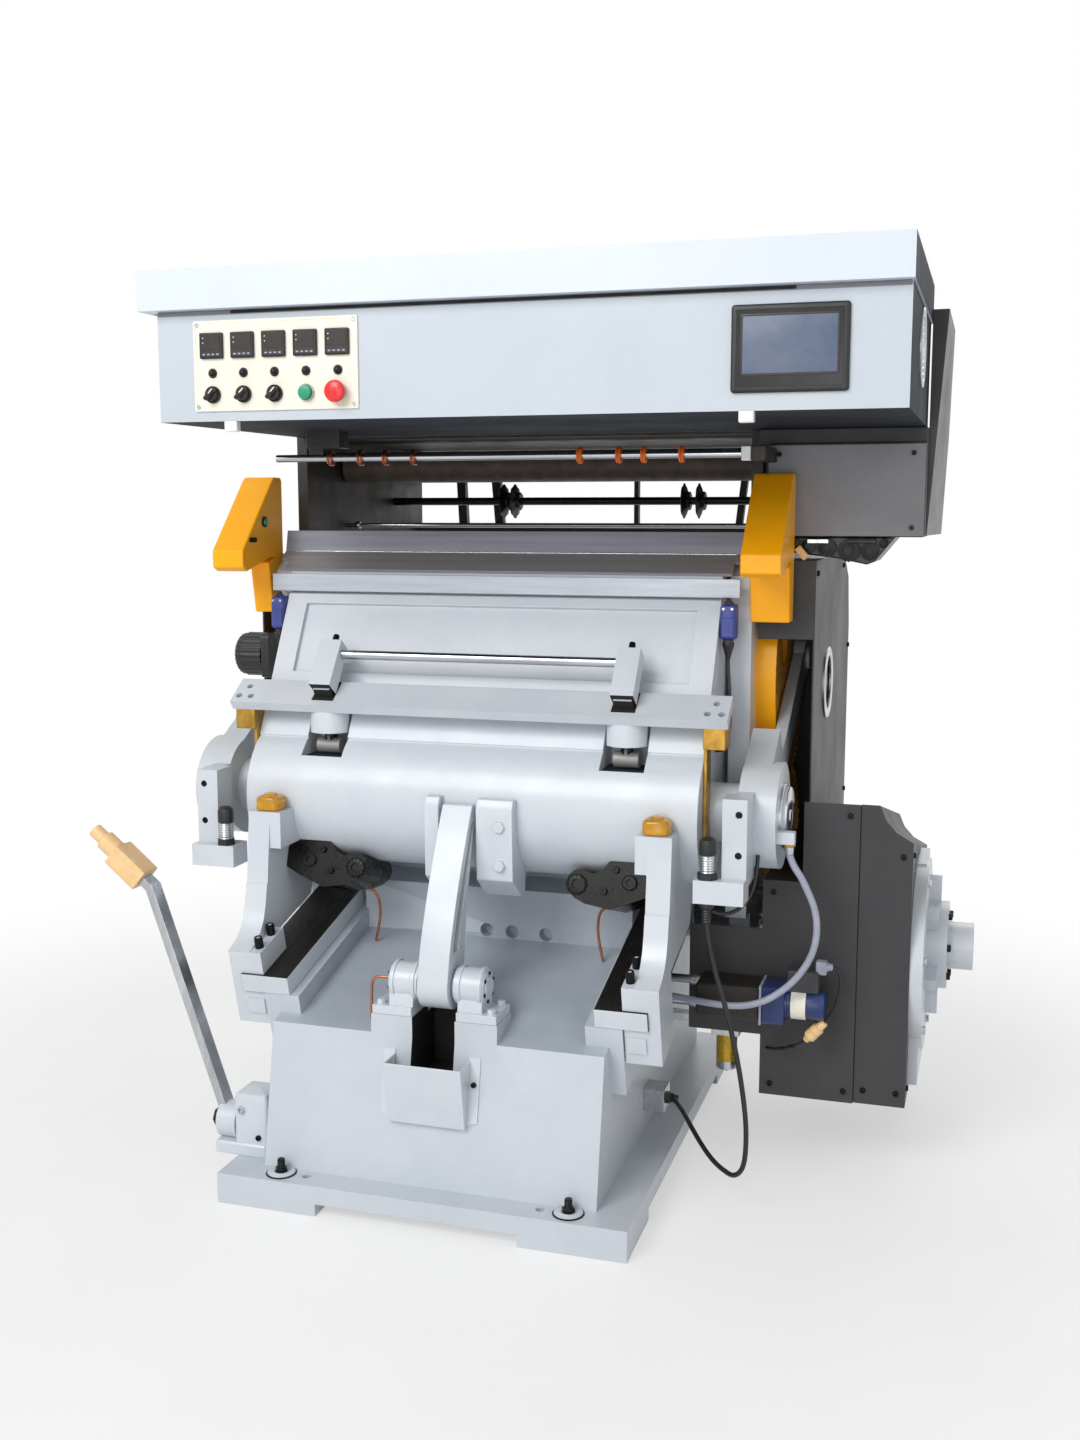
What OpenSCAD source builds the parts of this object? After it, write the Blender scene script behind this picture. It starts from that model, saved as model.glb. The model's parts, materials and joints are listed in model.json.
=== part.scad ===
// Hot foil stamping machine: a sliding and rocking platen press with a foil feed and a hinged hood.
// Lengths are in millimetres. Places along Y are measured back from the base's front edge.

/* [Base] */
// Width of the base flange
base_w = 850; // [800:10:900]
// Depth of the base flange
base_d = 1100; // [1080:10:1200]
// Height of the flange's top above the floor
flange_t = 62; // [50:1:70]
// Height of the arch between the corner feet
foot_gap = 25; // [10:1:35]
// Width of a corner foot
foot_w = 215; // [200:5:260]
// Depth of a corner foot
foot_d = 180; // [120:5:260]
// Width of the base body
body_w = 700; // [690:5:720]
// Set-back of the front wall at the flange
body_front = 60; // [55:1:75]
// Lean of the front wall from the vertical
front_lean = 11; // [8:0.5:13]
// Height of the deck's front edge
deck_z = 349; // [340:1:355]
// Slope of the deck and rails, rising to the back
slope = 14.5; // [13.5:0.5:15.5]
// Distance of the deck's rear wall
wall_y = 500; // [490:5:510]
// Height of the pedestal under the bed
pedestal_z = 560; // [552:2:572]
// Set-back of the body at the rear
rear_inset = 60; // [40:5:80]
// Half the spacing of the anchor holes across the machine
anchor_x = 245; // [235:1:260]
// Distance of the anchor holes from the front and rear edges
anchor_in = 39; // [32:1:45]
// Diameter of an anchor hole
anchor_d = 18; // [14:1:22]
// Half the spacing of the levelling studs
level_x = 301; // [290:1:330]
// Diameter of a levelling stud
level_d = 20; // [16:1:24]
// Height of a levelling stud
level_h = 108; // [95:1:130]

/* [Rails and saddles] */
// Reach of a rail past the flange's edge
rail_over = 5; // [0:1:10]
// Width of a rail
rail_w = 106; // [98:1:112]
// Thickness of a rail
rail_t = 40; // [34:1:46]
// Length of a rail
rail_len = 430; // [415:5:440]
// Distance of the rails' front end
rail_front = 128; // [122:1:134]
// Height of a rail's top at its front end
rail_z = 437; // [432:1:444]
// Width of the ridge that carries a rail
ridge_w = 75; // [60:1:76]
// Width of a saddle
saddle_w = 73; // [66:1:80]
// Thickness of a saddle's side plate
saddle_t = 48; // [40:1:56]
// Length of the hook that holds a rail
hook_len = 108; // [90:1:130]
// Height of the hook above the rail
hook_up = 50; // [40:1:60]
// Depth of the hook under the rail
hook_down = 78; // [60:1:90]
// Height of a saddle's top
saddle_top = 760; // [745:1:770]
// Size of an oil cup
cup_w = 54; // [44:1:60]
// Height of an oil cup
cup_h = 30; // [22:1:36]

/* [Platen] */
// Width of the platen
platen_w = 980; // [960:5:990]
// Distance of the trunnion axis
trunnion_y = 435; // [428:1:440]
// Height of the trunnion axis
trunnion_z = 775; // [770:1:782]
// Radius of the round back
back_r = 150; // [146:1:152]
// Radius of a trunnion
trunnion_r = 60; // [50:1:66]
// Height of the platen's top edge
platen_top = 1250; // [1244:1:1254]
// Distance of the working face
face_y = 600; // [594:1:603]
// Height of the working face's lower edge
face_z = 735; // [725:1:750]
// Depth of the recess in the platen's front
recess = 10; // [4:1:16]
// Width of a side rib beside that recess
rib_w = 48; // [30:1:70]
// Reach of the trip bar past each side of the platen
trip_over = 38; // [20:1:44]
// Height of the trip bar
trip_h = 37; // [30:1:42]
// Thickness of the trip bar
trip_t = 12; // [8:1:14]
// Travel of the trip bar's spring stroke
trip_travel = 6; // [3:0.5:8]
// Reach of the beam past each side of the platen
beam_over = 50; // [40:1:52]
// Breadth of the beam
beam_b = 74; // [66:1:80]
// Thickness of the beam
beam_t = 22; // [16:1:28]
// Tilt of the beam
beam_tilt = 35.6; // [33:0.2:38]
// Distance of a clamp block and a roller from the middle
clamp_x = 328; // [315:1:335]
// Radius of the grip rod
grip_r = 10; // [7:0.5:12]

/* [Guide arm] */
// Distance of the arm's pin
pin_y = 160; // [155:1:166]
// Height of the arm's pin
pin_z = 450; // [446:1:456]
// Radius of the pin
pin_r = 22; // [16:1:26]
// Radius of the arm's foot boss
boss_r = 50; // [44:1:54]
// Width of the arm
arm_w = 64; // [54:1:70]
// Depth of the groove in each side of the arm
groove = 9; // [4:1:14]

/* [Drive] */
// Module of the gear teeth
gear_m = 8; // [8:1:8]
// Teeth on a crank gear
crank_n = 60; // [60:1:60]
// Teeth on the idler
idler_n = 42; // [42:1:42]
// Teeth on the pinion
pinion_n = 18; // [18:1:18]
// Width of a gear's rim
gear_w = 30; // [24:1:31]
// Distance of the crank shaft
crank_y = 880; // [878:1:884]
// Height of the crank shaft
crank_z = 1022; // [1018:1:1024]
// Throw of the crank
crank_r = 55; // [45:1:60]
// Radius of the crank shaft
shaft_r = 45; // [36:1:48]
// Distance of the flywheel shaft
fly_y = 750; // [746:1:754]
// Height of the flywheel shaft
fly_z = 445; // [441:1:449]
// Radius of the flywheel
fly_r = 205; // [180:1:208]
// Width of the flywheel's rim
fly_w = 70; // [50:1:80]
// Width of a connecting rod's draw bar
bar_w = 26; // [20:1:30]
// Radius of a connecting rod's big end
big_r = 108; // [100:1:110]

/* [Bed] */
// Thickness of a side cheek
cheek_t = 45; // [40:1:48]
// Clearance between the platen and a cheek
platen_gap = 10; // [8:0.5:15]
// Distance of the cheeks' front edge
cheek_y = 560; // [552:1:566]
// Height of the cheeks
cheek_z = 1330; // [1326:1:1336]
// Thickness of the heating plate
heat_t = 24; // [16:1:26]
// Gap between the closed platen and the heating plate
nip = 6; // [4:0.5:8]

/* [Guards] */
// Thickness of sheet covers
sheet = 4; // [2:0.5:5]
// Reach of the column guard past the cheek
column_w = 126; // [120:1:135]
// Height of the column guard
column_z = 1283; // [1281:1:1300]
// Lower edge of the column guard
guard_split = 625; // [618:1:632]
// Height of the lower guards
guard_top = 794; // [785:1:805]
// Fall of the lower guards' tops to the rear
guard_fall = 12.4; // [11:0.2:13]
// Bottom of the lower guards
guard_bottom = 160; // [150:1:170]
// Reach of the gear guard past the column guard
gear_guard_w = 114; // [109:1:118]
// Reach of the flywheel guard past the gear guard
fly_guard_w = 106; // [101:1:111]

/* [Hood] */
// Left end of the hood
hood_left = -530; // [-550:1:-520]
// Right end of the hood
hood_right = 881; // [875:1:886]
// Distance of the hood's front
hood_front = 59; // [50:1:70]
// Distance of the hood's back
hood_back = 676; // [670:1:684]
// Height of the hood's underside
hood_z = 1553; // [1548:1:1560]
// Height of the hood's rim
hood_top = 1760; // [1755:1:1768]
// Height of the lid
lid_h = 76; // [60:1:84]
// Overhang of the lid at the front
lid_lip = 25; // [15:1:30]
// Width of the control panel
panel_w = 340; // [334:2:350]
// Height of the control panel
panel_h = 169; // [166:1:176]
// Middle of the control panel across the machine
panel_x = -282; // [-285:1:-278]
// Pitch of the instruments
pitch = 65; // [62:0.5:66]
// Width of an instrument
meter_w = 48; // [45:1:52]
// Width of the touch panel
touch_w = 200; // [180:1:210]
// Height of the touch panel
touch_h = 147; // [130:1:150]
// Travel of a push button
button_travel = 4; // [2:0.5:5]

/* [Foil feed] */
// Thickness of a foil side plate
foil_t = 25; // [18:1:28]
// Rear edge of the foil side plates
foil_end = 1400; // [1380:5:1420]
// Radius of the feed roller
roller_r = 37; // [30:1:40]
// Radius of the foil shaft
foil_r = 10; // [8:0.5:12]
// Radius of the guide rod
guide_r = 8; // [6:0.5:10]

/* [Guard arms and lever] */
// Thickness of a light guard arm
arm_guard_w = 75; // [60:1:76]
// Radius of the lever's hub
hub_r = 38; // [32:1:42]
// Length of the lever's bar
lever_len = 513; // [480:1:540]
// Lean of the lever's bar from the vertical
lever_lean = 19; // [16:0.5:22]
// Bend of the lever's bar below its grip
lever_bend = 31; // [25:1:35]

/* [Clearances] */
// Clearance between sliding or turning castings
clear = 0.3; // [0.2:0.05:0.5]
// Radial clearance of a shaft in its bore
fit = 0.05; // [0.03:0.01:0.08]

/* [Hidden] */
$fn = 72;
paint = [0.76, 0.79, 0.83];
charcoal = [0.29, 0.29, 0.3];
steel = [0.7, 0.71, 0.72];
black = [0.08, 0.08, 0.09];
yellow = [1, 0.68, 0.04];
rail_in = base_w / 2 + rail_over - rail_w;
ridge_out = rail_in - 20 + ridge_w;
side_x = body_w / 2;
beam_w = platen_w + 2 * beam_over;
trip_w = platen_w + 2 * trip_over;
cheek_gap = platen_w + 2 * platen_gap;
foil_x = cheek_gap / 2 + cheek_t;
column_x = foil_x + column_w;
gear_guard_x = column_x + gear_guard_w;
fly_guard_x = gear_guard_x + fly_guard_w;
deck_y = body_front + (deck_z - flange_t) * tan(front_lean);
wall_z = deck_z + (wall_y - deck_y) * tan(slope);
bed_foot = 620;
ridge_h = 150;
slot_w = arm_w + 26;
pad_z = pin_z - 62;
saddle_out = rail_in + rail_w + 23;
saddle_in = saddle_out - saddle_w;
front_foot = [352, 905];
front_top = [510, platen_top - trip_h - 12];
bar_y = front_top[0] + 14;
rod_in = foil_x + 15;
rod_out = foil_x + 91;
trunnion_end = rod_out + 12;
gear_x = [foil_x + 11, foil_x + 11 + gear_w];
bar_x = [gear_x[1] + 4, gear_x[1] + 4 + bar_w];
crank_pitch = gear_m * crank_n / 2;
idler_pitch = gear_m * idler_n / 2;
pinion_pitch = gear_m * pinion_n / 2;
rod_dir = [crank_y - trunnion_y, crank_z - trunnion_z] / norm([crank_y - trunnion_y, crank_z - trunnion_z]);
crank_pin = [crank_y, crank_z] + crank_r * rod_dir;
rod_angle = atan2(rod_dir[1], rod_dir[0]);
rod_len = norm(crank_pin - [trunnion_y, trunnion_z]);
// The idler meshes with the pinion and with the crank gear, behind the line between them.
train = [crank_y - fly_y, crank_z - fly_z];
train_len = norm(train);
reach_a = pinion_pitch + idler_pitch;
reach_b = crank_pitch + idler_pitch;
along = (reach_a * reach_a - reach_b * reach_b + train_len * train_len) / (2 * train_len);
aside = sqrt(reach_a * reach_a - along * along);
idler_c = [fly_y, fly_z] + along * train / train_len + aside * [train[1], -train[0]] / train_len;
foil_y = hood_back;
motor_c = [1075, 420];
roller_c = [900, 1490];
foil_c = [1200, 1410];
tension_c = [905, 1350];
guide_c = [450, 1497];
clamp_c = [380, 1080];
ridge_in = min(rail_in - 20, side_x - 46);
lever_c = [130, 122];
panel_z = (hood_z + hood_top) / 2;
meter_z = panel_z + panel_h / 2 - 47;
lamp_z = meter_z - 51;
button_z = lamp_z - 40;
panel_y = hood_front - 3;
lid_hinge = [hood_back + 9, hood_top - 8];
bed_face = face_y + nip + heat_t;
switch_x = platen_w / 2 + 18;
sensor_x = saddle_out + 66;
filter_x = foil_x - 37;
lever_x = -side_x - 112;
// Routes of the cables and the hose, as points chosen by hand.
cable_route = [[519, 245, 634], [519, 244, 600], [524, 242, 560], [538, 240, 500], [560, 237, 430],
    [581, 233, 350], [597, 229, 270], [606, 226, 200], [606, 226, 140], [598, 231, 105], [580, 244, 86],
    [556, 264, 86], [530, 290, 92], [502, 325, 104], [472, 368, 120], [444, 415, 132], [420, 455, 136],
    [402, 474, 136], [396, 474, 136]];
hose_route = [[660, 361, 733.8], [660, 361, 716], [669, 364, 690], [685, 367, 664], [698, 370, 636],
    [710, 372, 606], [716, 372, 574], [715, 372, 540], [707, 372, 508], [692, 372, 478], [671, 371, 450],
    [645, 369, 426], [615, 368, 406], [582, 368, 394], [548, 370, 389], [514, 374, 388], [482, 381, 388],
    [452, 390, 388], [424, 398, 388], [400, 402, 388], [379.2, 402, 388]];
switch_route = [[508, 496, 1108], [508, 496, 1084], [509, 494, 1060], [512, 490, 1030], [515, 484, 1000],
    [517, 478, 970], [517, 472, 940], [514, 468, 915], [506, 466, 900], [491, 466, 896]];

function bezier(a, b, c, n) = [for (i = [0:n]) let (t = i / n) (1 - t) * (1 - t) * a + 2 * t * (1 - t) * b + t * t * c];
function reversed(list) = [for (i = [len(list) - 1:-1:0]) list[i]];
function involute(base, angle) = base * [cos(angle) + angle * PI / 180 * sin(angle),
    sin(angle) - angle * PI / 180 * cos(angle)];
function turned(p, a) = [p[0] * cos(a) - p[1] * sin(a), p[0] * sin(a) + p[1] * cos(a)];
function rail_height(y) = rail_z + (y - rail_front) * tan(slope) + clear / cos(slope);

module from_front() translate([0, -base_d / 2, 0]) children();
module box(x, y, z) translate([x[0], y[0], z[0]]) cube([x[1] - x[0], y[1] - y[0], z[1] - z[0]]);
module rod_x(r, x, y, z) translate([x[0], y, z]) rotate([0, 90, 0]) cylinder(r = r, h = x[1] - x[0]);
module rod_y(r, x, y, z) translate([x, y[0], z]) rotate([-90, 0, 0]) cylinder(r = r, h = y[1] - y[0]);
module rod_z(r, x, y, z) translate([x, y, z[0]]) cylinder(r = r, h = z[1] - z[0]);
module hex_y(r, x, y, z) translate([x, y[0], z]) rotate([-90, 0, 0]) cylinder(r = r, h = y[1] - y[0], $fn = 6);
module profile_x(points, x) translate([x[0], 0, 0]) rotate([90, 0, 90]) linear_extrude(x[1] - x[0]) polygon(points);
module profile_y(points, y) translate([0, y[1], 0]) rotate([90, 0, 0]) linear_extrude(y[1] - y[0]) polygon(points);
module both() {
    children();
    mirror([1, 0, 0]) children();
}
module on_rail() translate([0, rail_front, rail_z]) rotate([slope, 0, 0]) children();
// A round cord: rings of a fixed number of sides carried along the route, each square to the run through it.
module cord(route, r, sides) {
    n = len(route);
    runs = [for (i = [0:n - 1]) let (d = route[min(i + 1, n - 1)] - route[max(i - 1, 0)]) d / norm(d)];
    rings = [for (i = [0:n - 1]) let (u = cross(runs[i], [0.31, 0.83, 0.46]), e = u / norm(u),
        f = cross(runs[i], e)) for (k = [0:sides - 1]) route[i] + r * (cos(360 * k / sides) * e + sin(360 * k / sides) * f)];
    walls = [for (i = [0:n - 2], k = [0:sides - 1], h = [0, 1]) let (a = i * sides + k, b = i * sides + (k + 1) % sides)
        h == 0 ? [a, b, b + sides] : [a, b + sides, a + sides]];
    ends = [for (k = [1:sides - 2]) [0, k + 1, k]];
    tail = [for (k = [1:sides - 2]) [(n - 1) * sides, (n - 1) * sides + k, (n - 1) * sides + k + 1]];
    polyhedron(rings, concat(walls, ends, tail), convexity = 6);
}
// A spur gear on an axis along X, with a tooth at the given angle. Flanks are involutes thinned for backlash.
module gear(n, x, c, angle) {
    pitch_r = gear_m * n / 2;
    base_r = pitch_r * cos(20);
    tip_r = pitch_r + gear_m;
    root_r = pitch_r - 1.25 * gear_m;
    tip_roll = sqrt(tip_r * tip_r / (base_r * base_r) - 1) * 180 / PI;
    half = 90 / n - 0.25 / pitch_r * 180 / PI + tan(20) * 180 / PI - 20;
    flank = [for (k = [0:3]) turned(involute(base_r, tip_roll * k / 3), -half)];
    tooth = concat([turned([root_r, 0], -half)], flank, [for (p = reversed(flank)) [p[0], -p[1]]],
        [turned([root_r, 0], half)]);
    outline = [for (i = [0:n - 1]) for (p = tooth) turned(p, angle + i * 360 / n)];
    profile_x([for (p = outline) c + p], x);
}

module base_casting() color(paint) from_front() difference() {
    union() {
        box([-base_w / 2, base_w / 2], [0, base_d], [foot_gap, flange_t]);
        for (s = [0, 1], y = [0, base_d - foot_d])
            box([s * (base_w - foot_w) - base_w / 2, s * (base_w - foot_w) - base_w / 2 + foot_w],
                [y, y + foot_d], [0, flange_t]);
        profile_x([[body_front, flange_t - 5], [deck_y, deck_z], [wall_y, wall_z], [bed_foot, wall_z],
            [bed_foot, pedestal_z], [base_d - rear_inset, pedestal_z], [base_d - rear_inset, flange_t - 5]],
            [-body_w / 2, body_w / 2]);
        box([-rail_in + 14, rail_in - 14], [wall_y, bed_foot + 5], [wall_z - 20, pedestal_z]);
        both() on_rail() box([ridge_in, ridge_out], [0, rail_len], [-rail_t - ridge_h, -rail_t]);
        both() box([slot_w / 2, slot_w / 2 + 88], [pin_y - 45, pin_y + 45], [deck_z - 20, pad_z]);
    }
    box([-slot_w / 2, slot_w / 2], [body_front - 20, pin_y + 78], [deck_z - 90, pin_z + 100]);
    // Room for the saddles' hooks beside the ridges.
    both() on_rail() box([ridge_out, saddle_out + 20], [-40, rail_len + 100], [-rail_t - hook_down - 8, 1]);
    // The core, open below.
    profile_x([[130, -1], [130, deck_z - 124], [260, deck_z - 124], [300, deck_z - 64], [555, deck_z - 24],
        [555, pedestal_z - 45], [base_d - 100, pedestal_z - 45], [base_d - 100, -1]], [-300, 300]);
    for (x = [-21, 38, 116]) rod_y(15, x, [wall_y - 5, wall_y + 30], wall_z + 16);
    for (s = [-1, 1], y = [anchor_in, base_d - anchor_in]) {
        rod_z(anchor_d / 2, s * anchor_x, y, [-1, flange_t + 1]);
        rod_z(level_d / 2 + fit, s * level_x, y, [-1, flange_t + 1]);
    }
}
module slide_rails() color([0.33, 0.31, 0.29]) from_front() both() on_rail()
    box([rail_in, rail_in + rail_w], [0, rail_len], [-rail_t, 0]);
module drip_tray() color(paint) from_front() {
    tray_top = deck_z - 35;
    difference() {
        profile_x([[deck_y - 45, tray_top - 128], [deck_y - 68, tray_top], [body_front + (tray_top - flange_t)
            * tan(front_lean), tray_top], [body_front + (tray_top - 128 - flange_t) * tan(front_lean), tray_top - 128]],
            [-81, 81]);
        profile_x([[deck_y - 43, tray_top - 122], [deck_y - 64, tray_top + 1], [deck_y + 9, tray_top + 1],
            [deck_y - 17, tray_top - 122]], [-77, 77]);
    }
}
module levelling_bolts() color(steel) from_front()
    for (s = [-1, 1], y = [anchor_in, base_d - anchor_in]) {
        rod_z(level_d / 2, s * level_x, y, [0, level_h]);
        difference() {
            union() {
                rod_z(20, s * level_x, y, [flange_t, flange_t + 5]);
                translate([s * level_x, y, flange_t + 5]) cylinder(r = 17.5, h = 16, $fn = 6);
            }
            rod_z(level_d / 2 + fit, s * level_x, y, [flange_t - 1, flange_t + 30]);
        }
    }
module bed_frame() color(paint) from_front() difference() {
    union() {
        box([-cheek_gap / 2 - 1, cheek_gap / 2 + 1], [bed_face, bed_face + 90], [pedestal_z, platen_top + 50]);
        box([-body_w / 2, body_w / 2], [bed_face + 80, base_d - rear_inset], [pedestal_z, pedestal_z + 160]);
        both() profile_x([[cheek_y, 520], [cheek_y, platen_top], [foil_y, cheek_z], [1250, cheek_z], [1250, 760],
            [1000, fly_z - 75], [650, fly_z - 75], [610, 520]], [cheek_gap / 2, foil_x]);
    }
    box([-310, 310], [bed_face + 100, base_d], [pedestal_z + 40, pedestal_z + 120]);
    rod_x(shaft_r + fit, [-foil_x - 1, foil_x + 1], crank_y, crank_z);
    rod_x(32 + fit, [cheek_gap / 2 - 5, foil_x + 1], fly_y, fly_z);
    rod_x(30 + fit, [cheek_gap / 2 - 5, foil_x + 1], idler_c[0], idler_c[1]);
}
module heating_plate() color(steel) from_front() difference() {
    box([25 - platen_w / 2, platen_w / 2 - 25], [bed_face - heat_t, bed_face], [face_z + 5, platen_top - 12]);
    for (x = [-420:120:420]) rod_z(7, x, bed_face - heat_t / 2, [face_z, platen_top]);
}
module pillow_blocks() color(paint) from_front() {
    both() difference() {
        union() {
            rod_x(37, [arm_w / 2 + 6, arm_w / 2 + 66], pin_y, pin_z);
            box([slot_w / 2 + 2, slot_w / 2 + 86], [pin_y - 43, pin_y + 43], [pad_z, pad_z + 18]);
            profile_x([[pin_y - 36, pad_z + 10], [pin_y - 28, pin_z], [pin_y + 28, pin_z], [pin_y + 36, pad_z + 10]],
                [slot_w / 2 + 2, arm_w / 2 + 66]);
        }
        rod_x(pin_r + fit, [arm_w / 2, arm_w / 2 + 80], pin_y, pin_z);
    }
    rod_x(pin_r, [-arm_w / 2 - 72, arm_w / 2 + 72], pin_y, pin_z);
    for (s = [-1, 1], y = [pin_y - 30, pin_y + 30])
        translate([s * (slot_w / 2 + 72), y, pad_z + 18]) cylinder(r = 9, h = 10, $fn = 6);
}
module column_guard() color(charcoal) from_front() difference() {
    profile_x([[600, guard_split], [600, column_z], [1180, column_z], [1290, column_z - 60], [1330, column_z - 180],
        [1330, guard_split]], [foil_x + 7, column_x]);
    profile_x([[600 + sheet, guard_split - 1], [600 + sheet, column_z - sheet], [1178, column_z - sheet],
        [1286, column_z - 63], [1330 - sheet, column_z - 182], [1330 - sheet, guard_split - 1]],
        [foil_x, column_x - sheet]);
    box([foil_x, column_x - sheet], [590, 600 + sheet + 1], [guard_split - 1, 1117]);
    rod_x(72, [column_x - 10, column_x + 10], 845, 1003);
}
module gear_guards() color(charcoal) from_front() {
    low = guard_top - 535 * tan(guard_fall);
    difference() {
        union() {
            box([foil_x + 45, column_x + 1], [495, 1030], [guard_bottom, guard_split]);
            profile_x([[495, guard_bottom], [495, guard_top], [1030, low], [1030, guard_bottom]], [column_x, gear_guard_x]);
            // The wing beside the gear motor.
            box([foil_x - 108, foil_x + 46], [495, 495 + sheet], [guard_bottom + 130, 519]);
        }
        box([foil_x + 35, gear_guard_x - sheet], [495 + sheet, 1030 - sheet], [guard_bottom + sheet, guard_split - sheet]);
        profile_x([[495 + sheet, guard_split - 50], [495 + sheet, guard_top - sheet - 1], [1030 - sheet, low - sheet],
            [1030 - sheet, guard_split - 50]], [column_x + sheet, gear_guard_x - sheet]);
        rod_x(60, [gear_guard_x - 20, gear_guard_x + 20], fly_y, fly_z);
    }
    for (p = [[640, 560], [1005, 420]]) rod_x(12, [foil_x, gear_guard_x - sheet], p[0], p[1]);
    mirror([1, 0, 0]) difference() {
        box([foil_x, column_x - 40], [648, 1180], [776, column_z]);
        box([foil_x - 1, column_x - 40 - sheet], [640, 1180 - sheet], [770, column_z - sheet]);
    }
}
module flywheel_guard() color(charcoal) from_front() difference() {
    left = gear_guard_x + sheet;
    right = fly_guard_x - sheet;
    intersection() {
        box([gear_guard_x, fly_guard_x], [500, 1160], [guard_bottom, guard_top]);
        translate([0, 500, guard_top]) rotate([-guard_fall, 0, 0]) profile_y([[gear_guard_x, -900], [gear_guard_x, 0],
            [left + 34, 0], [left + 47, -30], [left + 69, -54], [fly_guard_x, -72], [fly_guard_x, -900]], [-300, 1000]);
    }
    intersection() {
        box([left, right], [500 + sheet, 1160 - sheet], [guard_bottom + sheet, guard_top]);
        translate([0, 500, guard_top - sheet]) rotate([-guard_fall, 0, 0]) profile_y([[left, -900], [left, 0],
            [left + 32, 0], [left + 45, -30], [left + 68, -55], [right, -72], [right, -900]], [-300, 1000]);
    }
    rod_x(60, [gear_guard_x - 1, fly_guard_x + 1], fly_y, fly_z);
    rod_x(30, [gear_guard_x - 1, gear_guard_x + 20], motor_c[0], motor_c[1]);
}
module clutch_housing() color(paint) from_front() difference() {
    union() {
        rod_x(205, [fly_guard_x, fly_guard_x + 26], fly_y - 40, fly_z - 10);
        profile_x([[560, 190], [590, 560], [670, 640], [830, 640], [900, 540], [900, 190]], [fly_guard_x, fly_guard_x + 20]);
        rod_x(95, [fly_guard_x + 26, fly_guard_x + 68], fly_y, fly_z);
        rod_x(51, [fly_guard_x + 68, fly_guard_x + 121], fly_y, fly_z);
        for (a = [20:60:320]) translate([0, fly_y, fly_z]) rotate([a, 0, 0])
            box([fly_guard_x + 20, fly_guard_x + 50], [85, 150], [-12, 12]);
    }
    rod_x(36, [fly_guard_x - 1, fly_guard_x + 50], fly_y, fly_z);
}
module gear_motor() color([0.12, 0.19, 0.36]) from_front() {
    rod_x(50, [630, 758], 432, 388);
    box([560, 630], [382, 482], [340, 436]);
    box([470, 560], [400, 486], [352, 420]);
    for (z = [362, 410]) rod_x(9, [max(ridge_out, side_x), 470], 455, z);
}
module filter_regulator() color([0.5, 0.52, 0.55]) from_front() {
    box([side_x, filter_x - 30], [550, 580], [284, 300]);
    box([filter_x - 30, filter_x + 30], [540, 590], [262, 314]);
    rod_z(22, filter_x, 565, [184, 262]);
    rod_z(17, filter_x, 565, [314, 342]);
    box([side_x, side_x + 46], [444, 504], [112, 160]);
}
module hood_body() color([0.8, 0.84, 0.87]) from_front() {
    difference() {
        box([hood_left, hood_right], [hood_front, hood_back], [hood_z, hood_top]);
        box([hood_left + sheet, hood_right - sheet], [hood_front + sheet, hood_back - sheet], [hood_z + sheet, hood_top + 1]);
        rod_x(62, [hood_right - 10, hood_right + 10], 366, panel_z + 25);
    }
    for (x = [hood_left + 150, hood_right - 270]) {
        rod_x(4, [x, x + 120], lid_hinge[0], lid_hinge[1]);
        for (k = [0, 84]) difference() {
            union() {
                rod_x(8, [x + k, x + k + 36], lid_hinge[0], lid_hinge[1]);
                box([x + k, x + k + 36], [hood_back, lid_hinge[0]], [lid_hinge[1] - 8, lid_hinge[1] - 2]);
            }
        }
    }
}
module hood_lid() color([0.91, 0.94, 0.98]) from_front() {
    low = hood_top + clear;
    difference() {
        box([hood_left - 29, hood_right + 4], [hood_front - lid_lip, hood_back + 2], [low, hood_top + lid_h]);
        box([hood_left - 29 + sheet, hood_right + 4 - sheet], [hood_front - lid_lip + sheet, hood_back + 2 - sheet],
            [low - 1, hood_top + lid_h - sheet]);
    }
    box([hood_left - 28, hood_right + 3], [hood_front - lid_lip + 1, hood_front + 22], [low, low + sheet]);
    for (x = [hood_left + 150, hood_right - 270]) difference() {
        union() {
            rod_x(8, [x + 36 + clear, x + 84 - clear], lid_hinge[0], lid_hinge[1]);
            box([x + 36 + clear, x + 84 - clear], [hood_back - 1, lid_hinge[0] + 8], [lid_hinge[1] + 3, low + 8]);
            box([x + 36 + clear, x + 84 - clear], [hood_back + 2 * clear, lid_hinge[0]], [lid_hinge[1], low + 8]);
        }
        rod_x(4 + fit, [x, x + 120], lid_hinge[0], lid_hinge[1]);
        box([x, x + 120], [hood_back - 10, hood_back + clear], [lid_hinge[1] - 20, low]);
    }
}
module control_panel() color([0.93, 0.91, 0.84]) from_front()
    box([panel_x - panel_w / 2, panel_x + panel_w / 2], [panel_y, hood_front], [panel_z - panel_h / 2, panel_z + panel_h / 2]);
module panel_instruments() color(black) from_front() for (k = [-2:2]) {
    x = panel_x + k * pitch;
    box([x - meter_w / 2, x + meter_w / 2], [panel_y - 7, panel_y], [meter_z - meter_w / 2, meter_z + meter_w / 2]);
    rod_y(9, x, [panel_y - 8, panel_y], lamp_z);
    difference() {
        rod_y(16, x, [panel_y - 6, panel_y], button_z);
        rod_y(13 + clear, x, [panel_y - 7, panel_y - 0.5], button_z);
    }
}
module selector(k) color(black) from_front() {
    x = panel_x + k * pitch;
    translate([x, 0, button_z]) rotate([0, 45, 0]) difference() {
        union() {
            rod_y(13, 0, [panel_y - 12, panel_y - 0.5 - clear], 0);
            box([-4.5, 4.5], [panel_y - 24, panel_y - 12], [-14, 14]);
        }
        box([-1.2, 1.2], [panel_y - 25, panel_y - 23], [2, 15]);
    }
}
module selector_1() selector(-2);
module selector_2() selector(-1);
module selector_3() selector(0);
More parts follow.
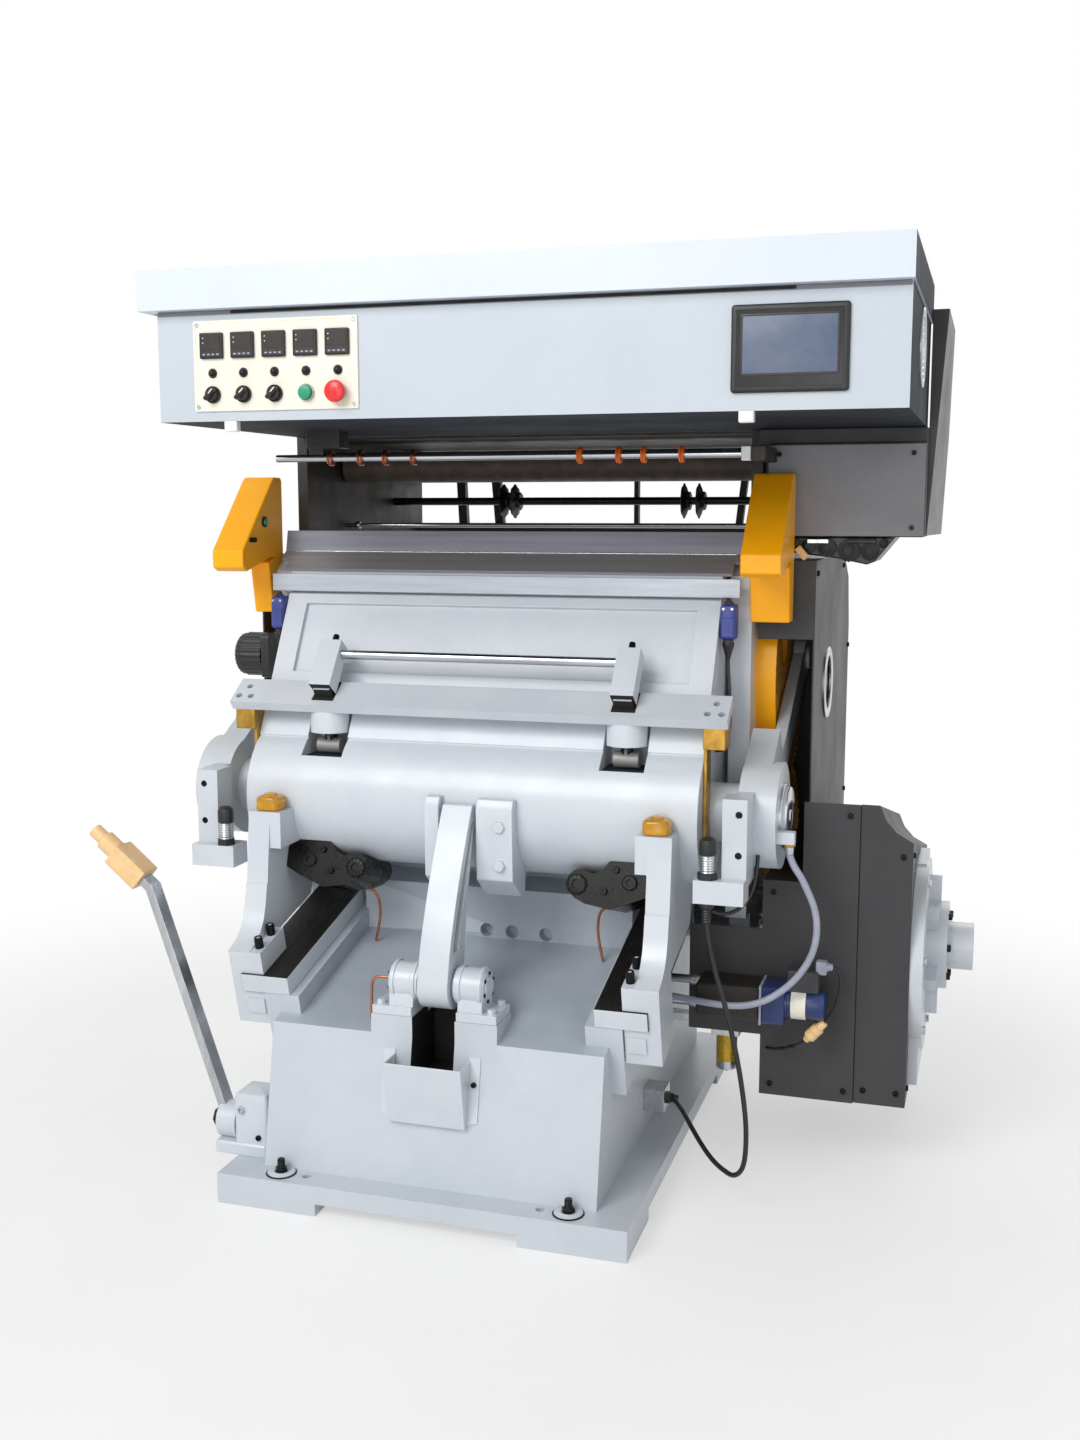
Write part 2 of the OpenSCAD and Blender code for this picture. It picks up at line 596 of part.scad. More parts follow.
module start_button() color([0.05, 0.55, 0.3]) from_front()
    rod_y(13, panel_x + pitch, [panel_y - 12, panel_y - 0.5 - button_travel - clear], button_z);
module stop_button() color([0.85, 0.12, 0.1]) from_front() {
    x = panel_x + 2 * pitch;
    rod_y(13, x, [panel_y - 14, panel_y - 0.5 - button_travel - clear], button_z);
    translate([x, panel_y - 14, button_z]) rotate([90, 0, 0]) cylinder(r1 = 20, r2 = 17, h = 12);
}
module touch_panel() color(black) from_front() {
    x = 681;
    difference() {
        box([x - touch_w / 2, x + touch_w / 2], [hood_front - 8, hood_front], [panel_z - touch_h / 2, panel_z + touch_h / 2]);
        box([x - touch_w / 2 + 20, x + touch_w / 2 - 20], [hood_front - 9, hood_front - 6],
            [panel_z - touch_h / 2 + 32, panel_z + touch_h / 2 - 20]);
    }
}
module foil_drive_box() color(charcoal) from_front() {
    box([foil_x + 21, hood_right + 5], [597, 800], [1331, 1520]);
    box([foil_x, foil_x + 21], [690, 800], [1345, 1512]);
    box([foil_x, hood_right + 5], [610, hood_back], [1520, hood_z]);
    profile_y([[column_x - 71, 1332], [column_x - 71, 1300], [column_x + 42, 1286], [column_x + 100, 1274],
        [column_x + 116, 1280], [column_x + 158, 1332]], [620, 780]);
}
module side_panel() color(black) from_front()
    hull() {
        profile_y([for (p = [[5, 1334], [7, 1334], [8, 1560], [37, 1785], [5, 1785]]) p + [hood_right, 0]], [640, 642]);
        profile_y([for (p = [[5, 1334], [26, 1334], [35, 1544], [40, 1772], [5, 1772]]) p + [hood_right, 0]], [898, 900]);
    }
module foil_frame() color([0.3, 0.27, 0.25]) from_front() difference() {
    union() {
        both() profile_x([[foil_y, cheek_z], [foil_y, hood_z + 110], [foil_y + 80, hood_z + 110], [foil_y + 80, hood_z],
            [foil_end, hood_z], [foil_end, cheek_z]], [foil_x - foil_t, foil_x]);
        // The plate that closes the frame above, behind the hood.
        box([-foil_x + foil_t - 1, foil_x - foil_t + 1], [foil_y, foil_end - 5], [hood_z - 6, hood_z]);
        box([-foil_x + foil_t - 1, foil_x - foil_t + 1], [foil_end - 45, foil_end - 10], [cheek_z, cheek_z + 23]);
        box([-foil_x + foil_t - 1, foil_x - foil_t + 1], [foil_end - 45, foil_end - 10], [1463, 1530]);
        // Struts, each as its middle at the top, its middle at the foot and half its width.
        for (p = [[-391, -384, 12], [-290, -279, 12], [104, 104, 6], [392, 378, 9]])
            profile_y([[p[1] - p[2], cheek_z + 15], [p[0] - p[2], 1470], [p[0] + p[2], 1470],
                [p[1] + p[2], cheek_z + 15]], [foil_end - 38, foil_end - 17]);
    }
    rod_x(foil_r + fit, [-foil_x - 1, foil_x + 1], foil_c[0], foil_c[1]);
    rod_x(10 + fit, [-foil_x - 1, foil_x + 1], roller_c[0], roller_c[1]);
    rod_x(5, [-foil_x + 8, foil_x - 8], tension_c[0], tension_c[1]);
}
module guide_rods() color(steel) from_front() {
    end = foil_x - 8;
    low = guide_c[1] - 14;
    rod_x(guide_r, [-483, end + 1], guide_c[0], guide_c[1]);
    rod_x(5, [-foil_x + 8, foil_x - 8], tension_c[0], tension_c[1]);
    rod_x(9, [-501, -489], tension_c[0], tension_c[1]);
    // The block under the hood and the arm from the drive box that carry the guide rod.
    box([-400, -322], [guide_c[0] - 25, guide_c[0] + 25], [guide_c[1] + guide_r + 12, hood_z]);
    box([-400, -366], [guide_c[0] - 12, guide_c[0] + 12], [guide_c[1] + guide_r - 1, hood_z]);
    box([end, end + 19], [guide_c[0] - 14, guide_c[0] + 14], [low, low + 28]);
    box([end + 19, end + 48], [guide_c[0] - 10, 597], [low, low + 28]);
}
module guide_rings() color([0.85, 0.45, 0.2]) from_front()
    for (x = [-353, -283, -225, -161, 204, 286, 338, 416]) difference() {
        rod_x(guide_r + 9, [x - 5, x + 5], guide_c[0], guide_c[1]);
        rod_x(guide_r + fit, [x - 6, x + 6], guide_c[0], guide_c[1]);
    }
module guard_arms() color(yellow) from_front() {
    head = [[400, 1262], [400, 1298], [545, 1452], [556, 1460], [588, 1460], [594, 1452], [594, 1280], [530, 1280],
        [418, 1252]];
    foot = [[520, 1270], [594, 1290], [594, 1156], [540, 1156]];
    profile_x(head, [foil_x, foil_x + arm_guard_w + 6]);
    profile_x(foot, [foil_x, foil_x + arm_guard_w + 6]);
    profile_x(head, [-foil_x - arm_guard_w, -foil_x]);
    profile_x(foot, [-foil_x - arm_guard_w + 28, -foil_x]);
}
module left_motor() color(black) from_front() {
    rod_x(50, [-rod_out, -foil_x - 22], 556, 1058);
    box([-foil_x - 22, -foil_x], [508, 606], [1008, 1108]);
}
module lever_bracket() color(paint) from_front() {
    box([-side_x - 70, -side_x], [92, 168], [flange_t, flange_t + 26]);
    profile_x([[104, flange_t + 20], [lever_c[0] - 30, lever_c[1]], [lever_c[0] + 30, lever_c[1]], [156, flange_t + 20]],
        [-side_x - 80, -side_x - 22]);
    rod_x(32, [lever_x + 22, -side_x - 10], lever_c[0], lever_c[1]);
    rod_x(16, [lever_x - 24, lever_x + 22], lever_c[0], lever_c[1]);
}
function run(a) = [-sin(a), cos(a)];
function beside(a) = [cos(a), sin(a)];
module throw_lever() color(steel) from_front() difference() {
    low = [lever_x, lever_c[1]];
    bend = low + lever_len * run(lever_lean);
    tip = bend + 62 * run(lever_lean + lever_bend);
    half = 9;
    miter = half / cos(lever_bend / 2);
    union() {
        rod_x(hub_r, [lever_x - 16, lever_x + 22 - clear], lever_c[0], lever_c[1]);
        profile_y([low + 27 * run(lever_lean) + half * beside(lever_lean),
            bend + miter * beside(lever_lean + lever_bend / 2), tip + half * beside(lever_lean + lever_bend),
            tip - half * beside(lever_lean + lever_bend), bend - miter * beside(lever_lean + lever_bend / 2),
            low + 27 * run(lever_lean) - half * beside(lever_lean)], [lever_c[0] - 17, lever_c[0] + 17]);
    }
    rod_x(16 + fit, [lever_x - 28, lever_x + 32], lever_c[0], lever_c[1]);
}
module lever_grip() color([0.94, 0.81, 0.6]) from_front() translate([lever_x, lever_c[0], lever_c[1]])
    rotate([0, -lever_lean, 0]) translate([0, 0, lever_len]) rotate([0, -lever_bend, 0]) {
        difference() {
            box([-24, 24], [-27, 27], [24, 108]);
            box([-9, 9], [-17, 17], [20, 62]);
        }
        rod_z(21, 0, 0, [108, 146]);
        rod_z(15, 0, 0, [146, 176]);
    }
module main_motor() color([0.25, 0.28, 0.33]) from_front() {
    end = cheek_gap / 2 - 2;
    rod_x(95, [side_x, end], motor_c[0], motor_c[1]);
    box([end - 98, end - 28], [motor_c[0] + 40, motor_c[0] + 130], [motor_c[1] - 40, motor_c[1] + 40]);
    rod_x(16, [end, gear_guard_x + 65], motor_c[0], motor_c[1]);
    rod_x(58, [gear_guard_x + 21, gear_guard_x + 65], motor_c[0], motor_c[1]);
}
module saddles() color(paint) from_front() both() {
    difference() {
        union() {
            profile_x([[204, 560], [226, saddle_top], [308, saddle_top], [452, 640], [412, 540], [202, 486]],
                [saddle_out - saddle_t, saddle_out]);
            box([saddle_in, saddle_out], [224, 312], [saddle_top - 76, saddle_top]);
            // The foot's hollow round down to the hook.
            profile_x([[123, 480], [123, 487.5], [150, 499], [172, 516], [188, 540], [198, 570], [206, 610], [240, 610],
                [240, 500]], [saddle_out - saddle_t, saddle_out]);
            on_rail() box([saddle_in, saddle_out], [6, 6 + hook_len], [-rail_t - hook_down, hook_up]);
        }
        rod_x(back_r + clear, [0, saddle_out + 1], trunnion_y, trunnion_z);
        on_rail() box([rail_in - 20, rail_in + rail_w + clear], [-20, rail_len + 90], [-rail_t - clear, clear]);
        on_rail() box([rail_in - 60, rail_in + rail_w + 60], [6 + hook_len, rail_len], [-200, clear]);
        on_rail() box([0, ridge_out + 2], [-20, rail_len], [-rail_t - hook_down - 1, -rail_t]);
    }
    for (y = [30, 84]) on_rail() rod_z(8, saddle_in + 13, y, [hook_up, hook_up + 22]);
}
module slide_shoes() color(black) from_front() both() {
    difference() {
        // A lobed block on the saddle's inner side that runs back and down under the platen.
        wall = saddle_out - saddle_t;
        translate([0, 300, 640]) rotate([-17, 0, 0]) profile_y([[wall, -12], [wall, 28], [wall - 17, 52], [wall - 89, 57],
            [wall - 113, 28], [wall - 129, 20], [wall - 150, 26], [wall - 167, 26], [wall - 181, 15], [wall - 186, 0],
            [wall - 181, -18], [wall - 165, -32], [wall - 143, -42], [wall - 90, -50], [wall - 33, -28]], [0, 146]);
        rod_x(back_r + clear, [0, saddle_out], trunnion_y, trunnion_z);
    }
    on_rail() box([saddle_in + 6, rail_in + rail_w - 6], [2, 6], [-rail_t - 52, -rail_t - 18]);
}
module oil_cups() color([0.88, 0.63, 0.06]) from_front() both() {
    x = (saddle_in + saddle_out) / 2;
    box([x - cup_w / 2, x + cup_w / 2], [230, 282], [saddle_top, saddle_top + cup_h]);
    rod_z(11, x, 256, [saddle_top + cup_h, saddle_top + cup_h + 5]);
}
module connecting_rods() color(paint) from_front() {
    both() connecting_rod();
    // The block on the right rod's ring that the grey hose screws into.
    box([rod_out - 1, rod_out + 35], [350, 372], [hose_route[0][2] + 0.2, hose_route[0][2] + 24]);
}
module connecting_rod() difference() {
    union() {
        rod_x(big_r, [rod_in, rod_out], trunnion_y, trunnion_z);
        translate([0, trunnion_y, trunnion_z]) rotate([rod_angle, 0, 0]) {
            box(bar_x, [60, rod_len], [-34, 34]);
            box([rod_in, bar_x[1]], [20, 150], [-34, big_r - 4]);
        }
        rod_x(46, bar_x, crank_pin[0], crank_pin[1]);
        rod_x(26, [bar_x[1], bar_x[1] + 8], crank_pin[0], crank_pin[1]);
    }
    rod_x(trunnion_r + fit, [rod_in - 1, rod_out + 4], trunnion_y, trunnion_z);
}
module sensor_brackets() color(paint) from_front() both() difference() {
    union() {
        box([foil_x - 1, foil_x + 47], [258, 352], [662, 836]);
        box([sensor_x - 25, foil_x + 47], [228, 290], [634, 680]);
    }
    rod_x(big_r + fit, [rod_in - 0.5, rod_out + 4], trunnion_y, trunnion_z);
    box([foil_x - 5, rod_in], [320, 400], [650, 840]);
    for (z = [726, 806]) rod_y(7, foil_x + 31, [250, 268], z);
    rod_z(15 + fit, sensor_x, 245, [620, 840]);
    rod_z(19 + fit, sensor_x, 245, [680, 840]);
}
module proximity_sensors() color(black) from_front() both() {
    rod_z(15, sensor_x, 245, [634, 762]);
    rod_z(19, sensor_x, 245, [680, 694]);
}
module platen_casting() color(paint) from_front() difference() {
    union() {
        rod_x(back_r, [-platen_w / 2, platen_w / 2], trunnion_y, trunnion_z);
        profile_x([front_foot, front_top, [bar_y, front_top[1] + 4], [bar_y, platen_top], [face_y, platen_top],
            [face_y, face_z], [trunnion_y + 100, face_z - 40], [trunnion_y, trunnion_z]], [-platen_w / 2, platen_w / 2]);
        rod_x(trunnion_r, [-trunnion_end, trunnion_end], trunnion_y, trunnion_z);
    }
    lean = atan2(front_top[1] - front_foot[1], front_top[0] - front_foot[0]);
    translate([0, front_foot[0], front_foot[1]]) rotate([lean, 0, 0])
        box([-platen_w / 2 + rib_w, platen_w / 2 - rib_w], [150, norm(front_top - front_foot) - 22], [-recess, 60]);
    both() box([clamp_x - 46, clamp_x + 46], [318, 418], [866, 1000]);
    both() rod_y(6 + fit, 400, [bar_y - 1, bar_y + 30 + trip_travel + 2], platen_top - trip_h / 2 - 5);
}
module apron() color([0.72, 0.73, 0.75]) from_front() {
    slope_top = [bar_y + 58, platen_top + 44];
    tail = [[bar_y + 68, platen_top + 90], [bar_y + 74, platen_top + 90]];
    profile_x(concat([[bar_y + 2, platen_top], [bar_y + 2, platen_top + 6], slope_top], tail, [[bar_y + 74, platen_top]]),
        [-platen_w / 2 - 2, platen_w / 2 + 2]);
    // The sheet's ends stand over the cheeks, the upper fold further out.
    hem = [[bar_y + 74, platen_top + 36], [bar_y + 62, platen_top + 36]];
    both() profile_x(concat([[bar_y + 2, platen_top], [bar_y + 2, platen_top + 6], slope_top], tail, hem,
        [[bar_y + 8, platen_top]]), [platen_w / 2 + 1, platen_w / 2 + 18]);
    both() profile_x(concat([[bar_y + 36, platen_top + 29], slope_top], tail, hem, [[bar_y + 40, platen_top + 22]]),
        [platen_w / 2 + 17, platen_w / 2 + 42]);
}
module beam_frame() translate([0, 316, 978]) rotate([beam_tilt, 0, 0]) children();
module beam() color(paint) from_front() difference() {
    beam_frame() box([-beam_w / 2, beam_w / 2], [0, beam_b], [-beam_t, 0]);
    for (s = [-1, 1], p = [[14, 20], [42, 20], [28, 50]])
        beam_frame() rod_z(7, s * (beam_w / 2 - p[0]), p[1], [-beam_t - 1, 1]);
}
module beam_rollers() color(steel) from_front() both() difference() {
    union() {
        rod_z(42, clamp_x, 368, [915, 1000]);
        rod_z(13, clamp_x, 368, [888, 916]);
        rod_x(17, [clamp_x - 26, clamp_x + 26], 368, 885);
    }
    beam_frame() box([0, beam_w], [-90, 160], [-beam_t, 80]);
}
module clamp_frame() translate([0, clamp_c[0], clamp_c[1]]) rotate([-beam_tilt, 0, 0]) children();
module rod_clamps() color(paint) from_front() both() difference() {
    union() {
        clamp_frame() box([clamp_x - 24, clamp_x + 24], [-20, 20], [-86, 25]);
        clamp_frame() rod_z(5, clamp_x, 0, [24, 38]);
        beam_frame() box([clamp_x - 19, clamp_x + 19], [24, 54], [-1, 22]);
    }
    rod_x(grip_r + fit, [0, clamp_x + 12], clamp_c[0], clamp_c[1]);
    beam_frame() box([0, beam_w], [-60, 160], [-80, 0]);
}
module grip_rod() color([0.85, 0.86, 0.88]) from_front() rod_x(grip_r, [-clamp_x - 12, clamp_x + 12], clamp_c[0], clamp_c[1]);
module end_brackets() color([0.71, 0.55, 0.23]) from_front() both() difference() {
    union() {
        box([platen_w / 2, beam_w / 2 - 6], [330, 392], [918, 990]);
        box([platen_w / 2, platen_w / 2 + 7], [340, 384], [trunnion_z, 920]);
        intersection() {
            box([platen_w / 2, platen_w / 2 + 7], [340, 384], [640, 920]);
            rod_x(back_r - 1, [platen_w / 2 - 1, platen_w / 2 + 8], trunnion_y, trunnion_z);
        }
    }
    beam_frame() box([0, beam_w], [-90, 160], [-beam_t, 80]);
    rod_x(trunnion_r + 2, [platen_w / 2 - 1, platen_w / 2 + 10], trunnion_y, trunnion_z);
}
module guide_bracket() color(paint) from_front() {
    cheek = [[262, 640], [258, 786], [268, 806], [300, 806], [352, 640], [346, 596], [318, 596]];
    difference() {
        union() {
            profile_x(cheek, [arm_w / 2 + 8, arm_w / 2 + 86]);
            profile_x(cheek, [-arm_w / 2 - 40, -arm_w / 2 - 8]);
        }
        rod_x(back_r + fit, [-200, 200], trunnion_y, trunnion_z);
    }
    for (z = [672, 752]) hex_y(13, arm_w / 2 + 58, [252, z > 700 ? 262 : 266], z);
}
module limit_switches() color([0.25, 0.29, 0.55]) from_front() both() {
    box([switch_x - 17, switch_x + 17], [482, 512], [1122, 1196]);
    box([platen_w / 2, switch_x + 10], [500, 530], [1150, 1180]);
    rod_z(9, switch_x, 496, [1108, 1122]);
}
module trip_bar() color([0.86, 0.87, 0.89]) from_front()
{
    back = bar_y - trip_travel - clear;
    box([-trip_w / 2, trip_w / 2], [back - trip_t, back], [platen_top - trip_h - 5, platen_top - 5]);
    both() rod_y(6, 400, [back, bar_y + 30], platen_top - trip_h / 2 - 5);
}
module guide_arm() color(paint) from_front() difference() {
    front = bezier([pin_y - boss_r + 1, pin_z + 8], [132, 580], [262, 792], 14);
    rear = bezier([296, 792], [214, 600], [pin_y + boss_r - 1, pin_z + 6], 14);
    front_web = bezier([pin_y - 12, pin_z + 66], [172, 600], [262, 760], 14);
    rear_web = bezier([272, 752], [200, 600], [pin_y + 14, pin_z + 66], 14);
    union() {
        rod_x(boss_r, [-arm_w / 2, arm_w / 2], pin_y, pin_z);
        profile_x(concat(front, rear), [-arm_w / 2, arm_w / 2]);
    }
    both() profile_x(concat(front_web, rear_web), [arm_w / 2 - groove, arm_w / 2 + 1]);
    rod_x(pin_r + fit, [-100, 100], pin_y, pin_z);
    for (dz = [0, -54]) rod_x(back_r + 6, [-100, 100], trunnion_y, trunnion_z + dz);
}
module crank_gears() color(yellow) from_front() {
    difference() {
        both() gear(crank_n, gear_x, [crank_y, crank_z], atan2(idler_c[1] - crank_z, idler_c[0] - crank_y));
        both() for (a = [0:60:300]) rod_x(48, [gear_x[0] - 1, gear_x[1] + 1],
            crank_y + 140 * cos(a + 30), crank_z + 140 * sin(a + 30));
    }
    rod_x(shaft_r, [-gear_x[0], gear_x[0]], crank_y, crank_z);
}
module idler_gear() color(yellow) from_front() {
    toward = atan2(crank_z - idler_c[1], crank_y - idler_c[0]);
    gear(idler_n, gear_x, idler_c, toward + 180 / idler_n);
    rod_x(30, [cheek_gap / 2 + 2, gear_x[0]], idler_c[0], idler_c[1]);
}
module pinion_shaft() color(steel) from_front() {
    toward = atan2(idler_c[1] - fly_z, idler_c[0] - fly_y);
    idler_phase = atan2(crank_z - idler_c[1], crank_y - idler_c[0]) + 180 / idler_n;
    // Where the line to the pinion falls between the idler's teeth, as a share of one tooth pitch.
    share = (toward + 180 - idler_phase) * idler_n / 360;
    gear(pinion_n, gear_x, [fly_y, fly_z], toward + (share + 0.5) * 360 / pinion_n);
    rod_x(32, [cheek_gap / 2 + 2, fly_guard_x + 40], fly_y, fly_z);
}
module flywheel() color(steel) from_front() difference() {
    x = [gear_guard_x + 14, gear_guard_x + 14 + fly_w];
    union() {
        rod_x(fly_r, x, fly_y, fly_z);
        rod_x(58, [x[0] - 6, x[1] + 6], fly_y, fly_z);
    }
    rod_x(32 + fit, [x[0] - 20, x[1] + 20], fly_y, fly_z);
    for (s = [-1, x[1] - x[0] - 18]) difference() {
        rod_x(fly_r - 34, [x[0] + s, x[0] + s + 19], fly_y, fly_z);
        rod_x(66, [x[0] - 10, x[1] + 10], fly_y, fly_z);
    }
}
module foil_shaft() color(black) from_front() {
    rod_x(foil_r, [-foil_x + 2, foil_x - 2], foil_c[0], foil_c[1]);
    for (x = [-214, -184, 264, 302]) {
        translate([x, foil_c[0], foil_c[1]]) rotate([0, 90, 0]) cylinder(r1 = 42, r2 = 22, h = 12);
        rod_x(22, [x + 12, x + 20], foil_c[0], foil_c[1]);
    }
}
module feed_roller() color([0.42, 0.36, 0.33]) from_front() {
    rod_x(roller_r, [-foil_x + foil_t + 2, foil_x - foil_t - 2], roller_c[0], roller_c[1]);
    rod_x(10, [-foil_x + 2, foil_x - 2], roller_c[0], roller_c[1]);
}
module sensor_cable() color(black) from_front() cord(cable_route, 5, 8);
module grey_hose() color([0.62, 0.63, 0.68]) from_front() cord(hose_route, 7, 8);
module switch_cables() color(black) from_front() {
    cord(switch_route, 4, 8);
    mirror([1, 0, 0]) cord(switch_route, 4, 8);
}

base_casting();
slide_rails();
drip_tray();
levelling_bolts();
bed_frame();
heating_plate();
pillow_blocks();
column_guard();
gear_guards();
flywheel_guard();
clutch_housing();
gear_motor();
filter_regulator();
hood_body();
control_panel();
panel_instruments();
touch_panel();
foil_drive_box();
side_panel();
foil_frame();
guide_rods();
guide_rings();
guard_arms();
left_motor();
lever_bracket();
main_motor();
saddles();
slide_shoes();
oil_cups();
connecting_rods();
sensor_brackets();
proximity_sensors();
platen_casting();
apron();
beam();
beam_rollers();
rod_clamps();
grip_rod();
end_brackets();
guide_bracket();
limit_switches();
trip_bar();
guide_arm();
hood_lid();
selector_1();
selector_2();
selector_3();
start_button();
stop_button();
throw_lever();
lever_grip();
crank_gears();
idler_gear();
pinion_shaft();
flywheel();
foil_shaft();
feed_roller();
sensor_cable();
grey_hose();
switch_cables();
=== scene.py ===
# Looks of a hot foil stamping press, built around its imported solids.
# Settings are in millimetres, with Y counted back from the base's front edge; meshes are in metres.
import json
import math
import bmesh
import bpy
import numpy as np
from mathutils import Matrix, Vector


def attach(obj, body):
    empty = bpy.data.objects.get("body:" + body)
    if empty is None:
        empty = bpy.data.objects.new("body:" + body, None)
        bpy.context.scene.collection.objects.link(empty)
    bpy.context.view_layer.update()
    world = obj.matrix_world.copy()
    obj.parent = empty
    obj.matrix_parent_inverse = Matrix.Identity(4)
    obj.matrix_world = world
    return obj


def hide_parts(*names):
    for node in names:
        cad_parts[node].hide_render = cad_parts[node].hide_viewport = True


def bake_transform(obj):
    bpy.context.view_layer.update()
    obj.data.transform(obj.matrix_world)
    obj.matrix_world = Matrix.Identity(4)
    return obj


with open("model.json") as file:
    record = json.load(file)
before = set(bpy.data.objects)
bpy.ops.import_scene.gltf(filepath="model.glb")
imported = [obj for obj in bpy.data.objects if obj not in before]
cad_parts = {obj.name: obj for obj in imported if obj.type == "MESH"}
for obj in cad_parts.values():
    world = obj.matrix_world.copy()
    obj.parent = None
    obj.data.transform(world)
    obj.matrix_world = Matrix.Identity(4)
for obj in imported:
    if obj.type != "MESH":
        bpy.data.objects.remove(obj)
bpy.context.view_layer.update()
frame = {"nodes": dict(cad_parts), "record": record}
scene = bpy.context.scene
nodes = frame["nodes"]
bodyOf = {name: body for body, names in frame["record"]["behaviour"]["bodies"].items() for name in names}
slotOf = {row["node"]: row["material_slot"] for row in frame["record"]["subparts"]}
mm = 0.001
frontEdge = np.array([0.0, -0.55, 0.0])
toRight, toLeft, toBack, toFront = (1, 0, 0), (-1, 0, 0), (0, 1, 0), (0, -1, 0)
upward, downward = (0, 0, 1), (0, 0, -1)
print("frame loaded:", len(nodes), "nodes")


def linked(name, data):
    # A new object in the scene.
    made = bpy.data.objects.new(name, data)
    scene.collection.objects.link(made)
    return made


# Camera at the photograph's place, level from side to side.
view = {"at": (1.03775, -3.08261, 1.37995), "along": (-0.2919, 0.9465, -0.1376), "lens": 37.257,
        "sensor": 36.0}
cameraData = bpy.data.cameras.new("photoCamera")
cameraData.lens = view["lens"]
cameraData.sensor_width = view["sensor"]
camera = linked("photoCamera", cameraData)
camera.location = view["at"]
camera.rotation_euler = Vector(view["along"]).to_track_quat("-Z", "Y").to_euler()
scene.camera = camera
scene.view_settings.view_transform = "Standard"


def linear(hexCode):
    # An sRGB hex value as linear light.
    value = np.array([int(hexCode[i:i + 2], 16) / 255 for i in (1, 3, 5)])
    light = np.where(value <= 0.04045, value / 12.92, ((value + 0.055) / 1.055) ** 2.4)
    return (*light.tolist(), 1.0)


def addNode(tree, kind, settings=None, links=None):
    # One node with its settings and its incoming links.
    node = tree.nodes.new(kind)
    for key, value in (settings or {}).items():
        if isinstance(key, int) or key in node.inputs:
            node.inputs[key].default_value = value
        else:
            setattr(node, key, value)
    for key, source in (links or {}).items():
        tree.links.new(source, node.inputs[key])
    return node


# The cloud's make-up, and the spans of it over which the tint and the gloss go from one end to the other.
cloudSet = {"make": {"Detail": 5.0, "Roughness": 0.62}, "tint": {"From Min": 0.34, "From Max": 0.66},
            "gloss": {"From Min": 0.3, "From Max": 0.7}}


def coat(name, light, dark, rough, mottle, lift, metallic=0.0, stretch=(1, 1, 1), sockets=None, grain=2.0):
    # A finish of two close colours mixed by a cloud of the mottle's size, with roughness that follows the
    # cloud and a fine grain as bump. Mottle and grain are real sizes in millimetres; stretch draws both out
    # into streaks. Grains finer than about 2 mm are drawn that coarse so that they show.
    material = bpy.data.materials.new(name)
    material.use_nodes = True
    tree = material.node_tree
    shader = tree.nodes["Principled BSDF"]
    shader.inputs["Metallic"].default_value = metallic
    for socket, value in (sockets or {}).items():
        shader.inputs[socket].default_value = value
    where = addNode(tree, "ShaderNodeTexCoord").outputs["Object"]
    drawn = addNode(tree, "ShaderNodeMapping", {"Scale": stretch}, {"Vector": where}).outputs["Vector"]
    cloud = addNode(tree, "ShaderNodeTexNoise", {"Scale": 1000 / mottle, **cloudSet["make"]},
                    {"Vector": drawn}).outputs["Fac"]
    share = addNode(tree, "ShaderNodeMapRange", cloudSet["tint"], {"Value": cloud}).outputs["Result"]
    tint = addNode(tree, "ShaderNodeMix", {"data_type": "RGBA", 6: linear(light), 7: linear(dark)},
                   {0: share})
    tree.links.new(tint.outputs[2], shader.inputs["Base Color"])
    gloss = addNode(tree, "ShaderNodeMapRange", {**cloudSet["gloss"], "To Min": rough[0], "To Max": rough[1]},
                    {"Value": cloud})
    tree.links.new(gloss.outputs["Result"], shader.inputs["Roughness"])
    peel = addNode(tree, "ShaderNodeTexNoise", {"Scale": 1000 / grain, "Detail": 2.0}, {"Vector": drawn})
    bump = addNode(tree, "ShaderNodeBump", {"Strength": lift, "Distance": mm},
                   {"Height": peel.outputs["Fac"]})
    tree.links.new(bump.outputs["Normal"], shader.inputs["Normal"])
    return material


# Skins and streaks that several finishes share.
enamelSkin = {"Coat Weight": 0.25, "Coat Roughness": 0.2}
dullSkin = {"Specular IOR Level": 0.3}
satinSkin = {"Specular IOR Level": 0.35}
alongWidth = (0.03, 1, 1)
